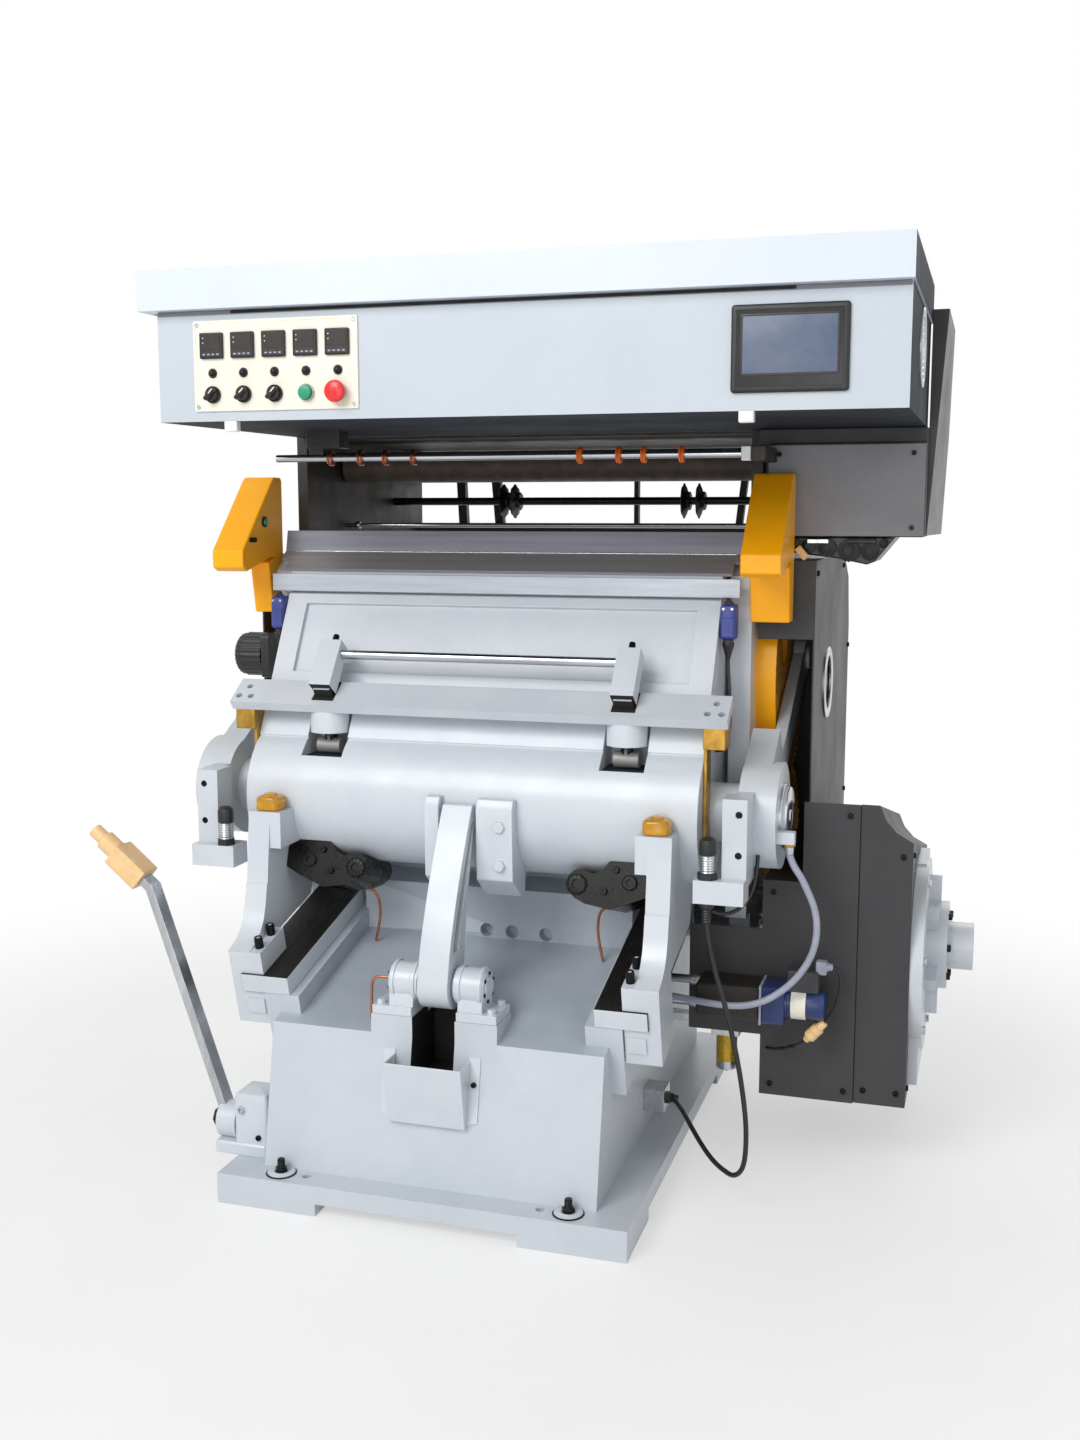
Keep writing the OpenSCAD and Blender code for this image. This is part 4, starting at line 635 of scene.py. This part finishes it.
# Painted shadow under the lid's lip: a dark grey band, and a black slot within it.
piece("lidShadowBand", "frame", [
    (block(hoodSet["shadowBand"], *hoodSet["shadowBandSize"], [(0, -0.4), (0, 0.7), (0.5, 1.0)], 2, "front"),
     litFaceAndShadowGrey),
    (block(hoodSet["slot"], *hoodSet["slotSize"], [(0, 0.5), (0, 1.2), (0.4, 1.5)], 2.8, "front"),
     slotShadow)])
piece("hoodStops", "frame", [
    (block((x, 68, 1553), *hoodSet["stopSize"], [(0, -1), (0, 17), (2, 19)], 3, "under"), whiteNylon)
    for x in hoodSet["stopsX"]])
ventParts = [(ring(58, 72, 4.5, hoodSet["vent"], toRight), "bright_steel")]
wireRadius = hoodSet["wireRadius"]
for radius in hoodSet["wires"]:
    wire = [(radius + wireRadius * math.cos(a), 1.6 + wireRadius * math.sin(a))
            for a in np.linspace(0, 2 * np.pi, 9)]
    ventParts.append((swept(wire, hoodSet["vent"], toRight), "bright_steel"))
for k in range(4):
    spoke = np.array([0, math.cos(k * math.pi / 4), math.sin(k * math.pi / 4)])
    line = [np.array(hoodSet["vent"]) + toRight + t * spoke for t in (-60, -30, 0, 30, 60)]
    ventParts.append((tube(line, wireRadius, 8), "bright_steel"))
ventParts.append((turned([(61.5, -9), (61.5, -7)], hoodSet["vent"], toRight), slotShadow))
piece("hoodVent", "frame", ventParts)
print("hood dressed")

# Foil feed: rods with their end blocks, rings, cones and roller.
rodSet = {"guide": (-483, 450, 1497), "guideLength": 1021, "tension": (-537, 905, 1350),
          "tensionLength": 1074, "roller": (-518, 900, 1490), "rollerLength": 1036, "axle": (-543, 900, 1490),
          "shaft": (-543, 1200, 1410), "axleLength": 1086, "conesX": (-214, -184, 264, 302),
          "ringsX": (-353, -283, -225, -161, 204, 286, 338, 416)}
piece("guideRods", "frame", [
    (plainRod(rodSet["guide"], 8, rodSet["guideLength"]), "polished_steel"),
    (plainRod(rodSet["tension"], 5, rodSet["tensionLength"]), "polished_steel"),
    (swept([(5, 0), (8, 0), (9, 1.5), (9, 10.5), (8, 12), (5, 12)], (-501, 905, 1350), toRight, 28),
     "bright_steel"),
    (block((-361, 450, 1517), 78, 50, [(1.5, 0), (0, 1.5), (0, 36)], 3, "top"), "black_paint"),
    (block((-383, 450, 1504), 34, 24, [(1, 0), (0, 1), (0, 20)], 2, "top"), "black_paint"),
    (block((546.5, 450, 1483), 19, 28, chamfered(28, 1.5), 3, "top"), whiteNylon),
    (block((570.5, 518.5, 1483), 29, 157, chamfered(28, 1), 2, "top"), "brown_steel")], ["guide_rods"])
ringProfile = [(8.15, -5), (15, -5), (17, -3.4), (17, -1.6), (13.6, 0), (17, 1.6), (17, 3.4), (15, 5),
               (8.15, 5), (8.15, -5)]
piece("guideRings", "frame", [
    (swept(ringProfile, (x, *rodSet["guide"][1:]), toRight), drawnCopper if x < 0 else "orange_plastic")
    for x in rodSet["ringsX"]], ["guide_rings"])
coneProfile = [(38, 0), (42, 1.5), (42, 4.5), (33, 8), (23, 12), (22, 12.5), (22, 19), (20, 20)]
coneParts = [(plainRod(rodSet["shaft"], 10, rodSet["axleLength"]), blackShaft)]
coneParts += [(turned(coneProfile, (x, *rodSet["shaft"][1:]), toRight, 48, 8, 0.05), "black_plastic")
              for x in rodSet["conesX"]]
piece("foilShaft", "foil_shaft", coneParts, ["foil_shaft"])
piece("feedRoller", "feed_roller", [
    (plainRod(rodSet["roller"], 37, rodSet["rollerLength"], 2.5), "dark_rubber"),
    (plainRod(rodSet["axle"], 10, rodSet["axleLength"]), "bright_steel")], ["feed_roller"])

# Platen: grip rod, clamps' screws with the painted shade of their slots, apron's hem, switches, ends of the
# trunnions.
clampSet = {"x": 328, "rod": (-340, 380, 1080), "rodLength": 680, "top": (394.6, 1100.3), "tilt": 35.6,
            "beam": (316, 978), "slot": [(-25, 14), (25, 14), (25, 73), (-25, 73)], "slotHalf": 0.5}
piece("gripRod", "platen",
      [(plainRod(clampSet["rod"], 10, clampSet["rodLength"], 1), "polished_steel")], ["grip_rod"])
beamBack, beamUp = leaning(clampSet["tilt"])
clampUp = leaning(-clampSet["tilt"])[1]
clampParts = []
for side in (-1, 1):
    clampParts.append((capScrew((side * clampSet["x"], *clampSet["top"]), clampUp, 7, 22), blackOxide))
    # The open slot in the beam below each clamp, as a thin black plate of painted shade at the beam's top.
    sheetAt = np.array([side * clampSet["x"], *clampSet["beam"]])
    slotRings = [[sheetAt + x * np.array(toRight) + y * beamBack + z * beamUp for x, y in clampSet["slot"]]
                 for z in (-clampSet["slotHalf"], clampSet["slotHalf"])]
    clampParts.append((shell(place(slotRings)), slotShadow))
piece("clampScrews", "platen", clampParts)
piece("apronHem", "platen",
      [(plainRod((-508, 581.5, 1293.8), 1.7, 1016, 0.5), "bright_steel")])
switchSet = {"body": (508, 512, 1159), "cover": (508, 482.4, 1148), "foot": (504, 515, 1150),
             "gland": (508, 496, 1122), "head": (508, 496, 1196)}
piece("limitSwitches", "platen", bothSides([
    (block(switchSet["body"], 34, 74, [(0, 0), (0, 20), (1.2, 25), (4, 28.5), (8, 30)], 9, "front", 7),
     "blue_plastic"),
    (block(switchSet["cover"], 25, 40, [(0, -1), (0, 0.8), (1, 1.6)], 3, "front"), "blue_plastic"),
    (block(switchSet["foot"], 28, 30, [(0, 0), (0, 30)], 2, "top"), "bright_steel"),
    *screws([(499, 482.6, 1186), (517, 482.6, 1186)], toFront, 3, 2, "bright_steel"),
    (hexHead(switchSet["gland"], downward, 11, 7), "black_plastic"),
    (turned([(12, 6), (12.6, 9), (11.4, 14), (9.6, 20), (8, 26), (6.4, 32), (5, 37), (4.6, 40)],
            switchSet["gland"], downward, 28), "black_rubber"),
    (turned([(9, 0), (9, 4), (5.5, 5.5), (5.5, 9), (4, 10.5), (0, 11)], switchSet["head"], upward, 24),
     "black_plastic")]), ["limit_switches"])
trunnionSet = {"end": (648, 435, 775), "rim": (636, 435, 775)}
endProfile = [(59, 0), (59, 2), (56, 4), (32, 4), (30, 2.6), (13, 2.6), (11, 5)]
piece("trunnionEnds", "platen",
      bothSides([(turned(endProfile, trunnionSet["end"], toRight, 64), "bright_steel")]))

# Carriage: bearing rims and screws, oil cups, sensors, fittings of the oiled blocks, oil pipes, hose ends.
carriageSet = {"slope": 14.5, "rail": (393, 128, 437), "capY": (30, 84), "capUp": 50, "faceZ": (726, 806)}
railBack, railUp = leaning(carriageSet["slope"])
capFoot = np.array(carriageSet["rail"])
carriageParts = [(ring(60.4, 66, 6, trunnionSet["rim"], toRight, 1.5, 72), "bright_steel")]
carriageParts += screws([capFoot + y * railBack + carriageSet["capUp"] * railUp for y in carriageSet["capY"]],
                        railUp, 9, 24)
carriageParts += screws([(576, 264, z) for z in carriageSet["faceZ"]], toFront, 6.8, 5)
piece("carriageScrews", "carriage", bothSides(carriageParts))
cupSet = {"cup": (416.5, 256, 760), "oil": (416.5, 256, 761.5)}
piece("oilCups", "carriage", bothSides([
    (block(cupSet["cup"], 54, 52, [(3, 0), (0, 3), (0, 23), (2, 27.5), (6, 30)], 16, "top", 8),
     "amber_plastic"),
    (block(cupSet["oil"], 49, 47, [(2, 0), (0, 2), (0, 14)], 14, "top", 8), oldOil),
    (turned([(13, 29), (13, 33.5), (11.5, 35)], cupSet["cup"], upward), "amber_plastic")]),
    ["oil_cups"])
sensorSet = {"foot": (519, 245, 634), "nut": (519, 245, 680)}
# Only the right sensor's cable shows, so only that one has a bend relief.
relief = [(15, 0), (15, 9), (11, 11)]
relief += [(11 - 0.15 * k - 1.4 * (k % 2), 12 + 2.6 * k) for k in range(12)] + [(6.4, 45)]
sensorParts = [(turned(relief, sensorSet["foot"], downward, 28), "black_rubber")]
sensorParts += bothSides([
    (turned([(14.8, 0), (14.8, 46)], sensorSet["foot"], upward), "black_plastic"),
    (hexHead(sensorSet["nut"], upward, 20, 14), "black_plastic"),
    (turned([(0, 58)] + thread(14.8, 34, 5, 60) + [(14.8, 95)], sensorSet["foot"], upward), "bright_steel"),
    (turned([(16, 94), (16.6, 98), (16.6, 118), (15, 124), (11, 127.4), (0, 128)], sensorSet["foot"], upward),
     "black_plastic")])
piece("proximitySensors", "carriage", sensorParts, ["proximity_sensors"])
# Rollers and screws on the front of each oiled block, square to its lean: X, height, radius and lobes.
shoeSpots = [(243, -4, 21, 10), (352, 6, 15, 0), (300, -14, 7, 0), (322, 30, 7, 0)]
shoeBack, shoeUp = leaning(-17)
shoeParts = []
for x, height, radius, lobes in shoeSpots:
    at = np.array([x, 300, 640]) + height * shoeUp
    profile = [(radius, -3), (radius, 4), (0.85 * radius, 6), (0.45 * radius, 6), (0.4 * radius, 3)]
    shoeParts.append((turned(profile, at, -shoeBack, 60, lobes, 0.05), oilAndShadeIron))
piece("shoeFittings", "carriage", bothSides(shoeParts))
pipeSet = {"radius": 3,
           "slide": [(306, 424, 560), (290, 428, 558), (272, 432, 555), (258, 436, 545), (251, 439, 525),
                     (250, 440, 500), (253, 440, 475), (258, 440, 450), (261, 440, 436)],
           "pin": [(-103, 160, 452), (-122, 160, 451), (-138, 160, 449), (-148, 160, 440), (-150, 160, 420),
                   (-151, 160, 396), (-152, 160, 362)], "pinNut": (-104, 160, 452)}
piece("oilPipes", "carriage", bothSides([
    (tube(smoothPath(pipeSet["slide"], 6), pipeSet["radius"]), drawnCopper),
    (hexHead(pipeSet["slide"][0], toLeft, 7, 9), "gold_zinc")]))
piece("pinOilPipe", "frame", [
    (tube(smoothPath(pipeSet["pin"], 6), pipeSet["radius"]), drawnCopper),
    (hexHead(pipeSet["pinNut"], toLeft, 7, 9), "gold_zinc")])
# Hose ends: body, place, axis and length.
hoseEnds = {"hoseFittingUpper": ("carriage", (660, 361, 737), downward, 24),
            "hoseFittingLower": ("frame", (379, 402, 388), toRight, 26)}
for name, (body, at, axis, length) in hoseEnds.items():
    ferrule = [(9.5, 8), (9.5, length - 4), (8, length)]
    piece(name, body, [(hexHead(at, axis, 12, 9), "gold_zinc"),
                                    (turned(ferrule, at, axis, 28), "bright_steel")])
print("platen and carriage dressed")

# Base: levelling studs, tray's wings and screws, lever's nut and housing, bearings of the guide arm's pin.
levelSet = {"x": (-301, 301), "y": (39, 1061), "washer": 62, "nut": 66}
levelParts = []
for x in levelSet["x"]:
    for y in levelSet["y"]:
        washerAt = (x, y, levelSet["washer"])
        levelParts += [
            (turned([(8, 0)] + thread(8, 14, 3, 76) + [(7, 92), (0, 93)], (x, y, 0), upward, 28), blackOxide),
            # Under each washer a black ring, a dark rim of painted shadow round it.
            (turned([(31, -1), (31, 1.2), (29.5, 2)], washerAt, upward, 56), blackOxide),
            (turned([(28, 1), (28, 3.4), (27, 4)], washerAt, upward, 56), "grey_paint"),
            (hexHead((x, y, levelSet["nut"]), upward, 13, 9), blackOxide)]
piece("levellingStuds", "frame", levelParts, ["levelling_bolts"])
baseSet = {"front": 60, "flange": 62, "lean": math.tan(math.radians(11)), "normal": (0, -0.98, 0.19),
           "wing": [(78, 190), (102, 198), (102, 322), (78, 322)], "wingDepth": (-1, 3), "screw": (91, 270)}


def onFront(x, z, out):
    # A point that stands out from the base's sloping front.
    return (x, baseSet["front"] + (z - baseSet["flange"]) * baseSet["lean"] - out, z)


leverSet = {"nut": (-486, 130, 122), "block": (-396, 130, 87), "foot": (-420, 130, 62),
            "rim": (-434, 130, 122)}
trayParts = [(hexHead(leverSet["nut"], toLeft, 20, 10), blackOxide)]
for side in (-1, 1):
    # A wing of the tray on each side lies on the sloping front, 3 mm thick, with one screw.
    wingRings = [[onFront(side * x, z, out) for x, z in baseSet["wing"]] for out in baseSet["wingDepth"]]
    trayParts.append((shell(place(wingRings)), "grey_paint"))
    screwX, screwZ = baseSet["screw"]
    screwAt = onFront(side * screwX, screwZ, baseSet["wingDepth"][1])
    trayParts.append((capScrew(screwAt, baseSet["normal"], 5.5, 5), blackOxide))
piece("baseScrews", "frame", trayParts)
piece("leverHousing", "frame", [
    (block(leverSet["block"], 76, 78, [(1.5, 0), (0, 1.5), (0, 96), (4, 106), (12, 110)], 9, "top"),
     "grey_paint"),
    (block(leverSet["foot"], 118, 84, [(1.5, 0), (0, 1.5), (0, 22), (3, 26)], 6, "top"), "grey_paint"),
    (capScrew((-416, 91, 160), toFront, 8, 5), "bright_steel"),
    (capScrew((-378, 91, 104), toFront, 6, 5), blackOxide),
    (ring(33, 40, 6, leverSet["rim"], toLeft), "grey_paint")])
pinSet = {"axis": (160, 450), "boltsX": 100,
          "rings": [(37.2, 39.6, 9, 44, 1.2), (37.2, 39.6, 8, 88, 1.2), (21, 33, 2.4, 98, 0.8)]}
bearingParts = [(ring(inner, outer, thick, (x, *pinSet["axis"]), toRight, lip, 56), "grey_paint")
                for inner, outer, thick, x, lip in pinSet["rings"]]
bearingParts += screws(boltCircle((pinSet["boltsX"], *pinSet["axis"]), 28, 20), toRight, 4, 3)
piece("bearingRings", "frame", bothSides(bearingParts))

# Right side: gear motor with tie rods, air set, guards' fittings, motor's lead.
motorAt = (652, 432, 387)
tieProfile = [(13, 0), (13, 14), (9, 15), (9, 70), (12, 71), (12, 91)]
piece("gearMotor", "frame", [
    (block((628.5, 432, 349), 47, 76, chamfered(76, 3), 5, "top"), "blue_paint"),
    (block((603.5, 432, 346), 5, 82, chamfered(82, 1), 2, "top"), "grey_rubber"),
    (block((535, 443, 352), 132, 86, chamfered(68, 3), 5, "top"), "brown_steel"),
    (turned([(33, 0), (33, 4), (31, 5), (31, 9), (32, 10), (32, 44), (31, 45), (31, 70), (28, 78), (22, 81)],
            motorAt, toRight, 56), "blue_paint"),
    (turned([(32.6, 12), (32.6, 42)], motorAt, toRight, 56), "panel_white"),
    (block((686, 436, 414), 64, 44, [(2, 0), (0, 2), (0, 40), (3, 44)], 4, "top"), "charcoal_paint"),
    (block((721, 436, 452), 22, 22, [(1, 0), (0, 1), (0, 25), (2, 27)], 4, "top"), "grey_rubber"),
    (turned([(9, 0), (9, 6), (7.5, 7), (7.5, 11), (5, 14)], (730, 436, 467), toRight, 24),
     "grey_rubber"),
    *[(turned(tieProfile, (379, 455, z), toRight, 28), "bright_steel") for z in (362, 410)]], ["gear_motor"])
airSet = {"bowl": (508, 565, 262), "knob": (508, 565, 314), "socket": (396, 474, 136)}
piece("airBowl", "frame", [
    (turned([(22.6, 0), (22.6, 58), (20, 68), (12, 75), (0, 78)], airSet["bowl"], downward), "amber_plastic"),
    (turned([(6, 76), (6, 84), (4, 86)], airSet["bowl"], downward, 20), "black_plastic"),
    (turned([(17.6, 0), (17.6, 8), (16, 9), (17.6, 10), (17.6, 22), (14, 28.4)], airSet["knob"],
            upward, 36, 18, 0.02), "black_plastic"),
    (hexHead(airSet["socket"], toRight, 13, 8), "black_plastic"),
    (turned([(10, 7), (10, 14), (8, 16), (6.2, 26)], airSet["socket"], toRight, 28), "black_rubber")])
guardSet = {"window": (671, 845, 1003), "wheel": (917, 710, 435), "wheelBolts": 178,
            "clutch": (959, 750, 445), "clutchBolts": 74, "firstBolt": 50}
guardScrews = {
    toFront: [(612, 495, 185), (765, 495, 185), (612, 495, 600), (765, 495, 770), (805, 500, 190),
              (872, 500, 190), (872, 500, 690)],
    toRight: [(891, 525, 195), (891, 1130, 195), (891, 525, 690), (891, 1130, 560), (671, 625, 1255),
              (671, 1150, 1255), (671, 1300, 1050), (671, 1300, 680)],
    toBack: [(612, 1030, 185), (765, 1030, 185), (805, 1160, 190), (872, 1160, 190), (600, 1330, 700),
             (600, 1330, 1050)]}
guardParts = [(ring(60, 80, 6, guardSet["window"], toRight, 2, 72), "bright_steel"),
              (turned([(71, -6), (71, -3), (0, -2)], guardSet["window"], toRight, 64), smokedLens)]
for axis, spots in guardScrews.items():
    guardParts += screws(spots, axis, 6, 5)
wheelSpots = boltCircle(guardSet["wheel"], guardSet["wheelBolts"], guardSet["firstBolt"])
clutchSpots = boltCircle(guardSet["clutch"], guardSet["clutchBolts"], guardSet["firstBolt"])
for wheelSpot, clutchSpot in zip(wheelSpots, clutchSpots):
    guardParts += [(hexHead(wheelSpot, toRight, 9, 7), "bright_steel"),
                   (capScrew(clutchSpot, toRight, 8, 8), blackOxide)]
piece("guardFittings", "frame", guardParts)
# Sheet band round part of the gear: its section is an oblong of these radii and widths.
bandSet = {"axis": (880, 1022), "section": [(251, 545), (251, 588), (254.5, 588), (254.5, 545)],
           "arc": (128, 232)}
bandY, bandZ = bandSet["axis"]
bandRings = [[(x, bandY + radius * math.cos(a), bandZ + radius * math.sin(a))
              for radius, x in bandSet["section"]] for a in np.radians(np.linspace(*bandSet["arc"], 40))]
piece("gearBand", "frame", [(shell(place(bandRings)), "yellow_paint")])
# Black sheet behind the gear, inside the column guard: painted shade for the guard's dark inside.
piece("columnShadeSheet", "frame",
      [(block((608, 1140, 775), 118, 490, chamfered(3, 0.5), 3, "front"), "black_paint")])
leadRoute = [(741, 436, 467), (748, 435, 466), (755, 434, 460), (759, 433, 449), (760, 432, 434),
             (758, 432, 414), (753, 432, 394), (745, 432, 374), (735, 432, 358), (723, 432, 343),
             (709, 432, 328), (695, 433, 312), (682, 435, 301), (668, 439, 292), (653, 447, 284),
             (638, 458, 277), (623, 472, 270), (611, 486, 265), (604, 495, 263)]
plugSet = {"at": (731, 432, 352), "axis": unit((-0.67, 0.02, -0.74)),
           "sleeveAxis": unit((-0.83, 0.37, -0.42)),
           "sleeves": [((668, 439, 292), 14), ((646, 452, 280.6), 12)]}
plugProfile = [(7, 0), (9, 3), (9, 16), (13, 18), (13, 30), (11, 32), (13, 34), (13, 46), (9, 50), (6, 58)]
motorPlug = piece("motorPlug", "frame", [
    (turned(plugProfile, plugSet["at"], plugSet["axis"], 28), "cream_plastic"),
    *[(turned([(4.8, 0), (4.8, length)], at, plugSet["sleeveAxis"], 20), "black_rubber")
      for at, length in plugSet["sleeves"]]])
cordPiece("motorLead", leadRoute, 3, "black_rubber", ["frame"], [])

# Motors that the photograph hides or half hides, with cooling ribs.
piece("leftMotor", "frame", [
    (block((-545, 557, 1058), 98, 100, [(0, 0), (0, 19), (3, 22)], 10, "left"), "black_paint"),
    (turned([(49, 0), (49, 50), (47, 52), (46, 62), (40, 68), (0, 69)], (-567, 556, 1058), toLeft, 144, 24,
            0.02), "black_paint")], ["left_motor"])
pulleyProfile = [(58, 0)] + [(58 - 8 * (k % 2), 5 + 4.6 * k) for k in range(8)] + [(58, 42), (56, 44)]
piece("mainMotor", "frame", [
    (turned([(94, 0), (94, 104), (88, 106), (88, 110), (94, 112), (94, 136), (86, 145), (70, 148)],
            (350, 1075, 420), toRight, 180, 36, 0.012), "charcoal_paint"),
    (block((435, 1115, 420), 70, 80, [(0, 0), (0, 84), (4, 90)], 6, "back"), "charcoal_paint"),
    (plainRod((498, 1075, 420), 16, 352), "bright_steel"),
    (turned(pulleyProfile, (806, 1075, 420), toRight, 56), "oiled_iron")], ["main_motor"])

# Guard arm's slot as a black plate of painted shade, and its button; the foil drive's underside: drums,
# screws, connector and bars.
armButton = (-545, 503, 1360)
piece("armFittings", "frame", [
    (block((-545, 449, 1321), 36, 11, [(0, -0.6), (0, 0.5), (0.4, 0.6)], 5.4, "right"), slotShadow),
    (turned([(12, 0), (12, 3), (10.5, 4)], armButton, toRight), "black_plastic"),
    (turned([(8, 3), (8, 6), (6.5, 7)], armButton, toRight), "green_plastic")])
# Drums: X, Z and radius.
drums = [(622, 1317, 11), (652, 1312, 15), (690, 1308, 19), (735, 1303, 23), (777, 1302, 19), (805, 1318, 10)]
driveParts = []
for x, z, radius in drums:
    drum = [(radius, 0), (radius, 10), (0.4 * radius, 11), (0.4 * radius, 18)]
    driveParts.append((turned(drum, (x, 620, z), toFront, 120, 20, 0.04), oilAndShadeIron))
driveParts += screws([(x, 597, z) for x in (590, 860) for z in (1350, 1500)], toFront, 5, 4)
barLevels = [(0.5, 0), (0, 0.5), (0, 10), (1, 11)]
driveParts += [
    (block((640, 606, 1298), 15, 30, [(1, 0), (0, 1), (0, 10), (1.5, 12)], 2, "front", 4, 40),
     "cream_plastic"),
    (block((672, 612, 1322), 44, 9, barLevels, 2, "front"), "bright_steel"),
    (block((760, 612, 1322), 60, 8, barLevels, 2, "front"), "brown_steel")]
piece("foilDriveFittings", "frame", driveParts)
print("frame dressed")

# Light: large soft lamps and a white room, at a level at which a colour renders about as written.
# Each lamp has a place, a size in metres and a power in watts, and looks at the machine's middle.
lamps = {"keyLamp": ((-1.5, -4.5, 4.0), 2.6, 168), "fillLamp": ((0.5, -5.2, 1.4), 2.4, 38),
         "sideLamp": ((3.6, -2.2, 3.0), 2.6, 18), "backLamp": ((0.5, 3.6, 3.6), 3.0, 55)}
lampAim = Vector((0, 0, 0.9))
for name, (at, size, power) in lamps.items():
    lampData = bpy.data.lights.new(name, "AREA")
    lampData.size = size
    lampData.energy = power
    lamp = linked(name, lampData)
    lamp.location = at
    lamp.rotation_euler = (lampAim - Vector(at)).to_track_quat("-Z", "Y").to_euler()


def larger(tree, first, second):
    # The larger of two values.
    return addNode(tree, "ShaderNodeMath", {"operation": "MAXIMUM"}, {0: first, 1: second}).outputs[0]


room = {"ambient": 0.40, "white": 1.0}
world = bpy.data.worlds.new("whiteRoom")
scene.world = world
world.use_nodes = True
sky = world.node_tree
rays = addNode(sky, "ShaderNodeLightPath").outputs
shown = larger(sky, larger(sky, rays["Is Camera Ray"], rays["Is Glossy Ray"]), rays["Is Transmission Ray"])
level = addNode(sky, "ShaderNodeMapRange", {"To Min": room["ambient"], "To Max": room["white"]},
                {"Value": shown})
sky.links.new(level.outputs["Result"], sky.nodes["Background"].inputs["Strength"])
sky.nodes["Background"].inputs["Color"].default_value = (1, 1, 1, 1)

# Floor: pale matt paper that fades into the white room, by a smooth step on the distance from the middle.
floorSet = {"half": 9.0, "below": -0.001, "fadeFrom": 1.1, "fadeTo": 2.6, "paleness": 0.5}
half, below = floorSet["half"], floorSet["below"]
floorMesh = bpy.data.meshes.new("paperFloor")
floorMesh.from_pydata([(-half, -half, below), (half, -half, below), (half, half, below),
                       (-half, half, below)], [], [(0, 1, 2, 3)])
floor = linked("paperFloor", floorMesh)
paper = coat("mattPaperWhite", "#F4F4F4", "#EFEFF0", (0.7, 0.8), 400, 0.02, grain=6.0)
tree = paper.node_tree
spot = addNode(tree, "ShaderNodeVectorMath", {"operation": "LENGTH"},
               {0: addNode(tree, "ShaderNodeTexCoord").outputs["Object"]})
fade = addNode(tree, "ShaderNodeMapRange",
               {"interpolation_type": "SMOOTHSTEP", "From Min": floorSet["fadeFrom"],
                "From Max": floorSet["fadeTo"], "To Min": floorSet["paleness"]},
               {"Value": spot.outputs["Value"]})
rays = addNode(tree, "ShaderNodeLightPath").outputs
share = addNode(tree, "ShaderNodeMath", {"operation": "MULTIPLY"},
                {0: fade.outputs["Result"], 1: larger(tree, rays["Is Camera Ray"], rays["Is Glossy Ray"])})
glow = addNode(tree, "ShaderNodeEmission", {"Color": (1, 1, 1, 1), "Strength": 1.0})
mixed = addNode(tree, "ShaderNodeMixShader", None,
                {0: share.outputs[0], 1: tree.nodes["Principled BSDF"].outputs[0], 2: glow.outputs[0]})
tree.links.new(mixed.outputs[0], tree.nodes["Material Output"].inputs["Surface"])
floorMesh.materials.append(paper)
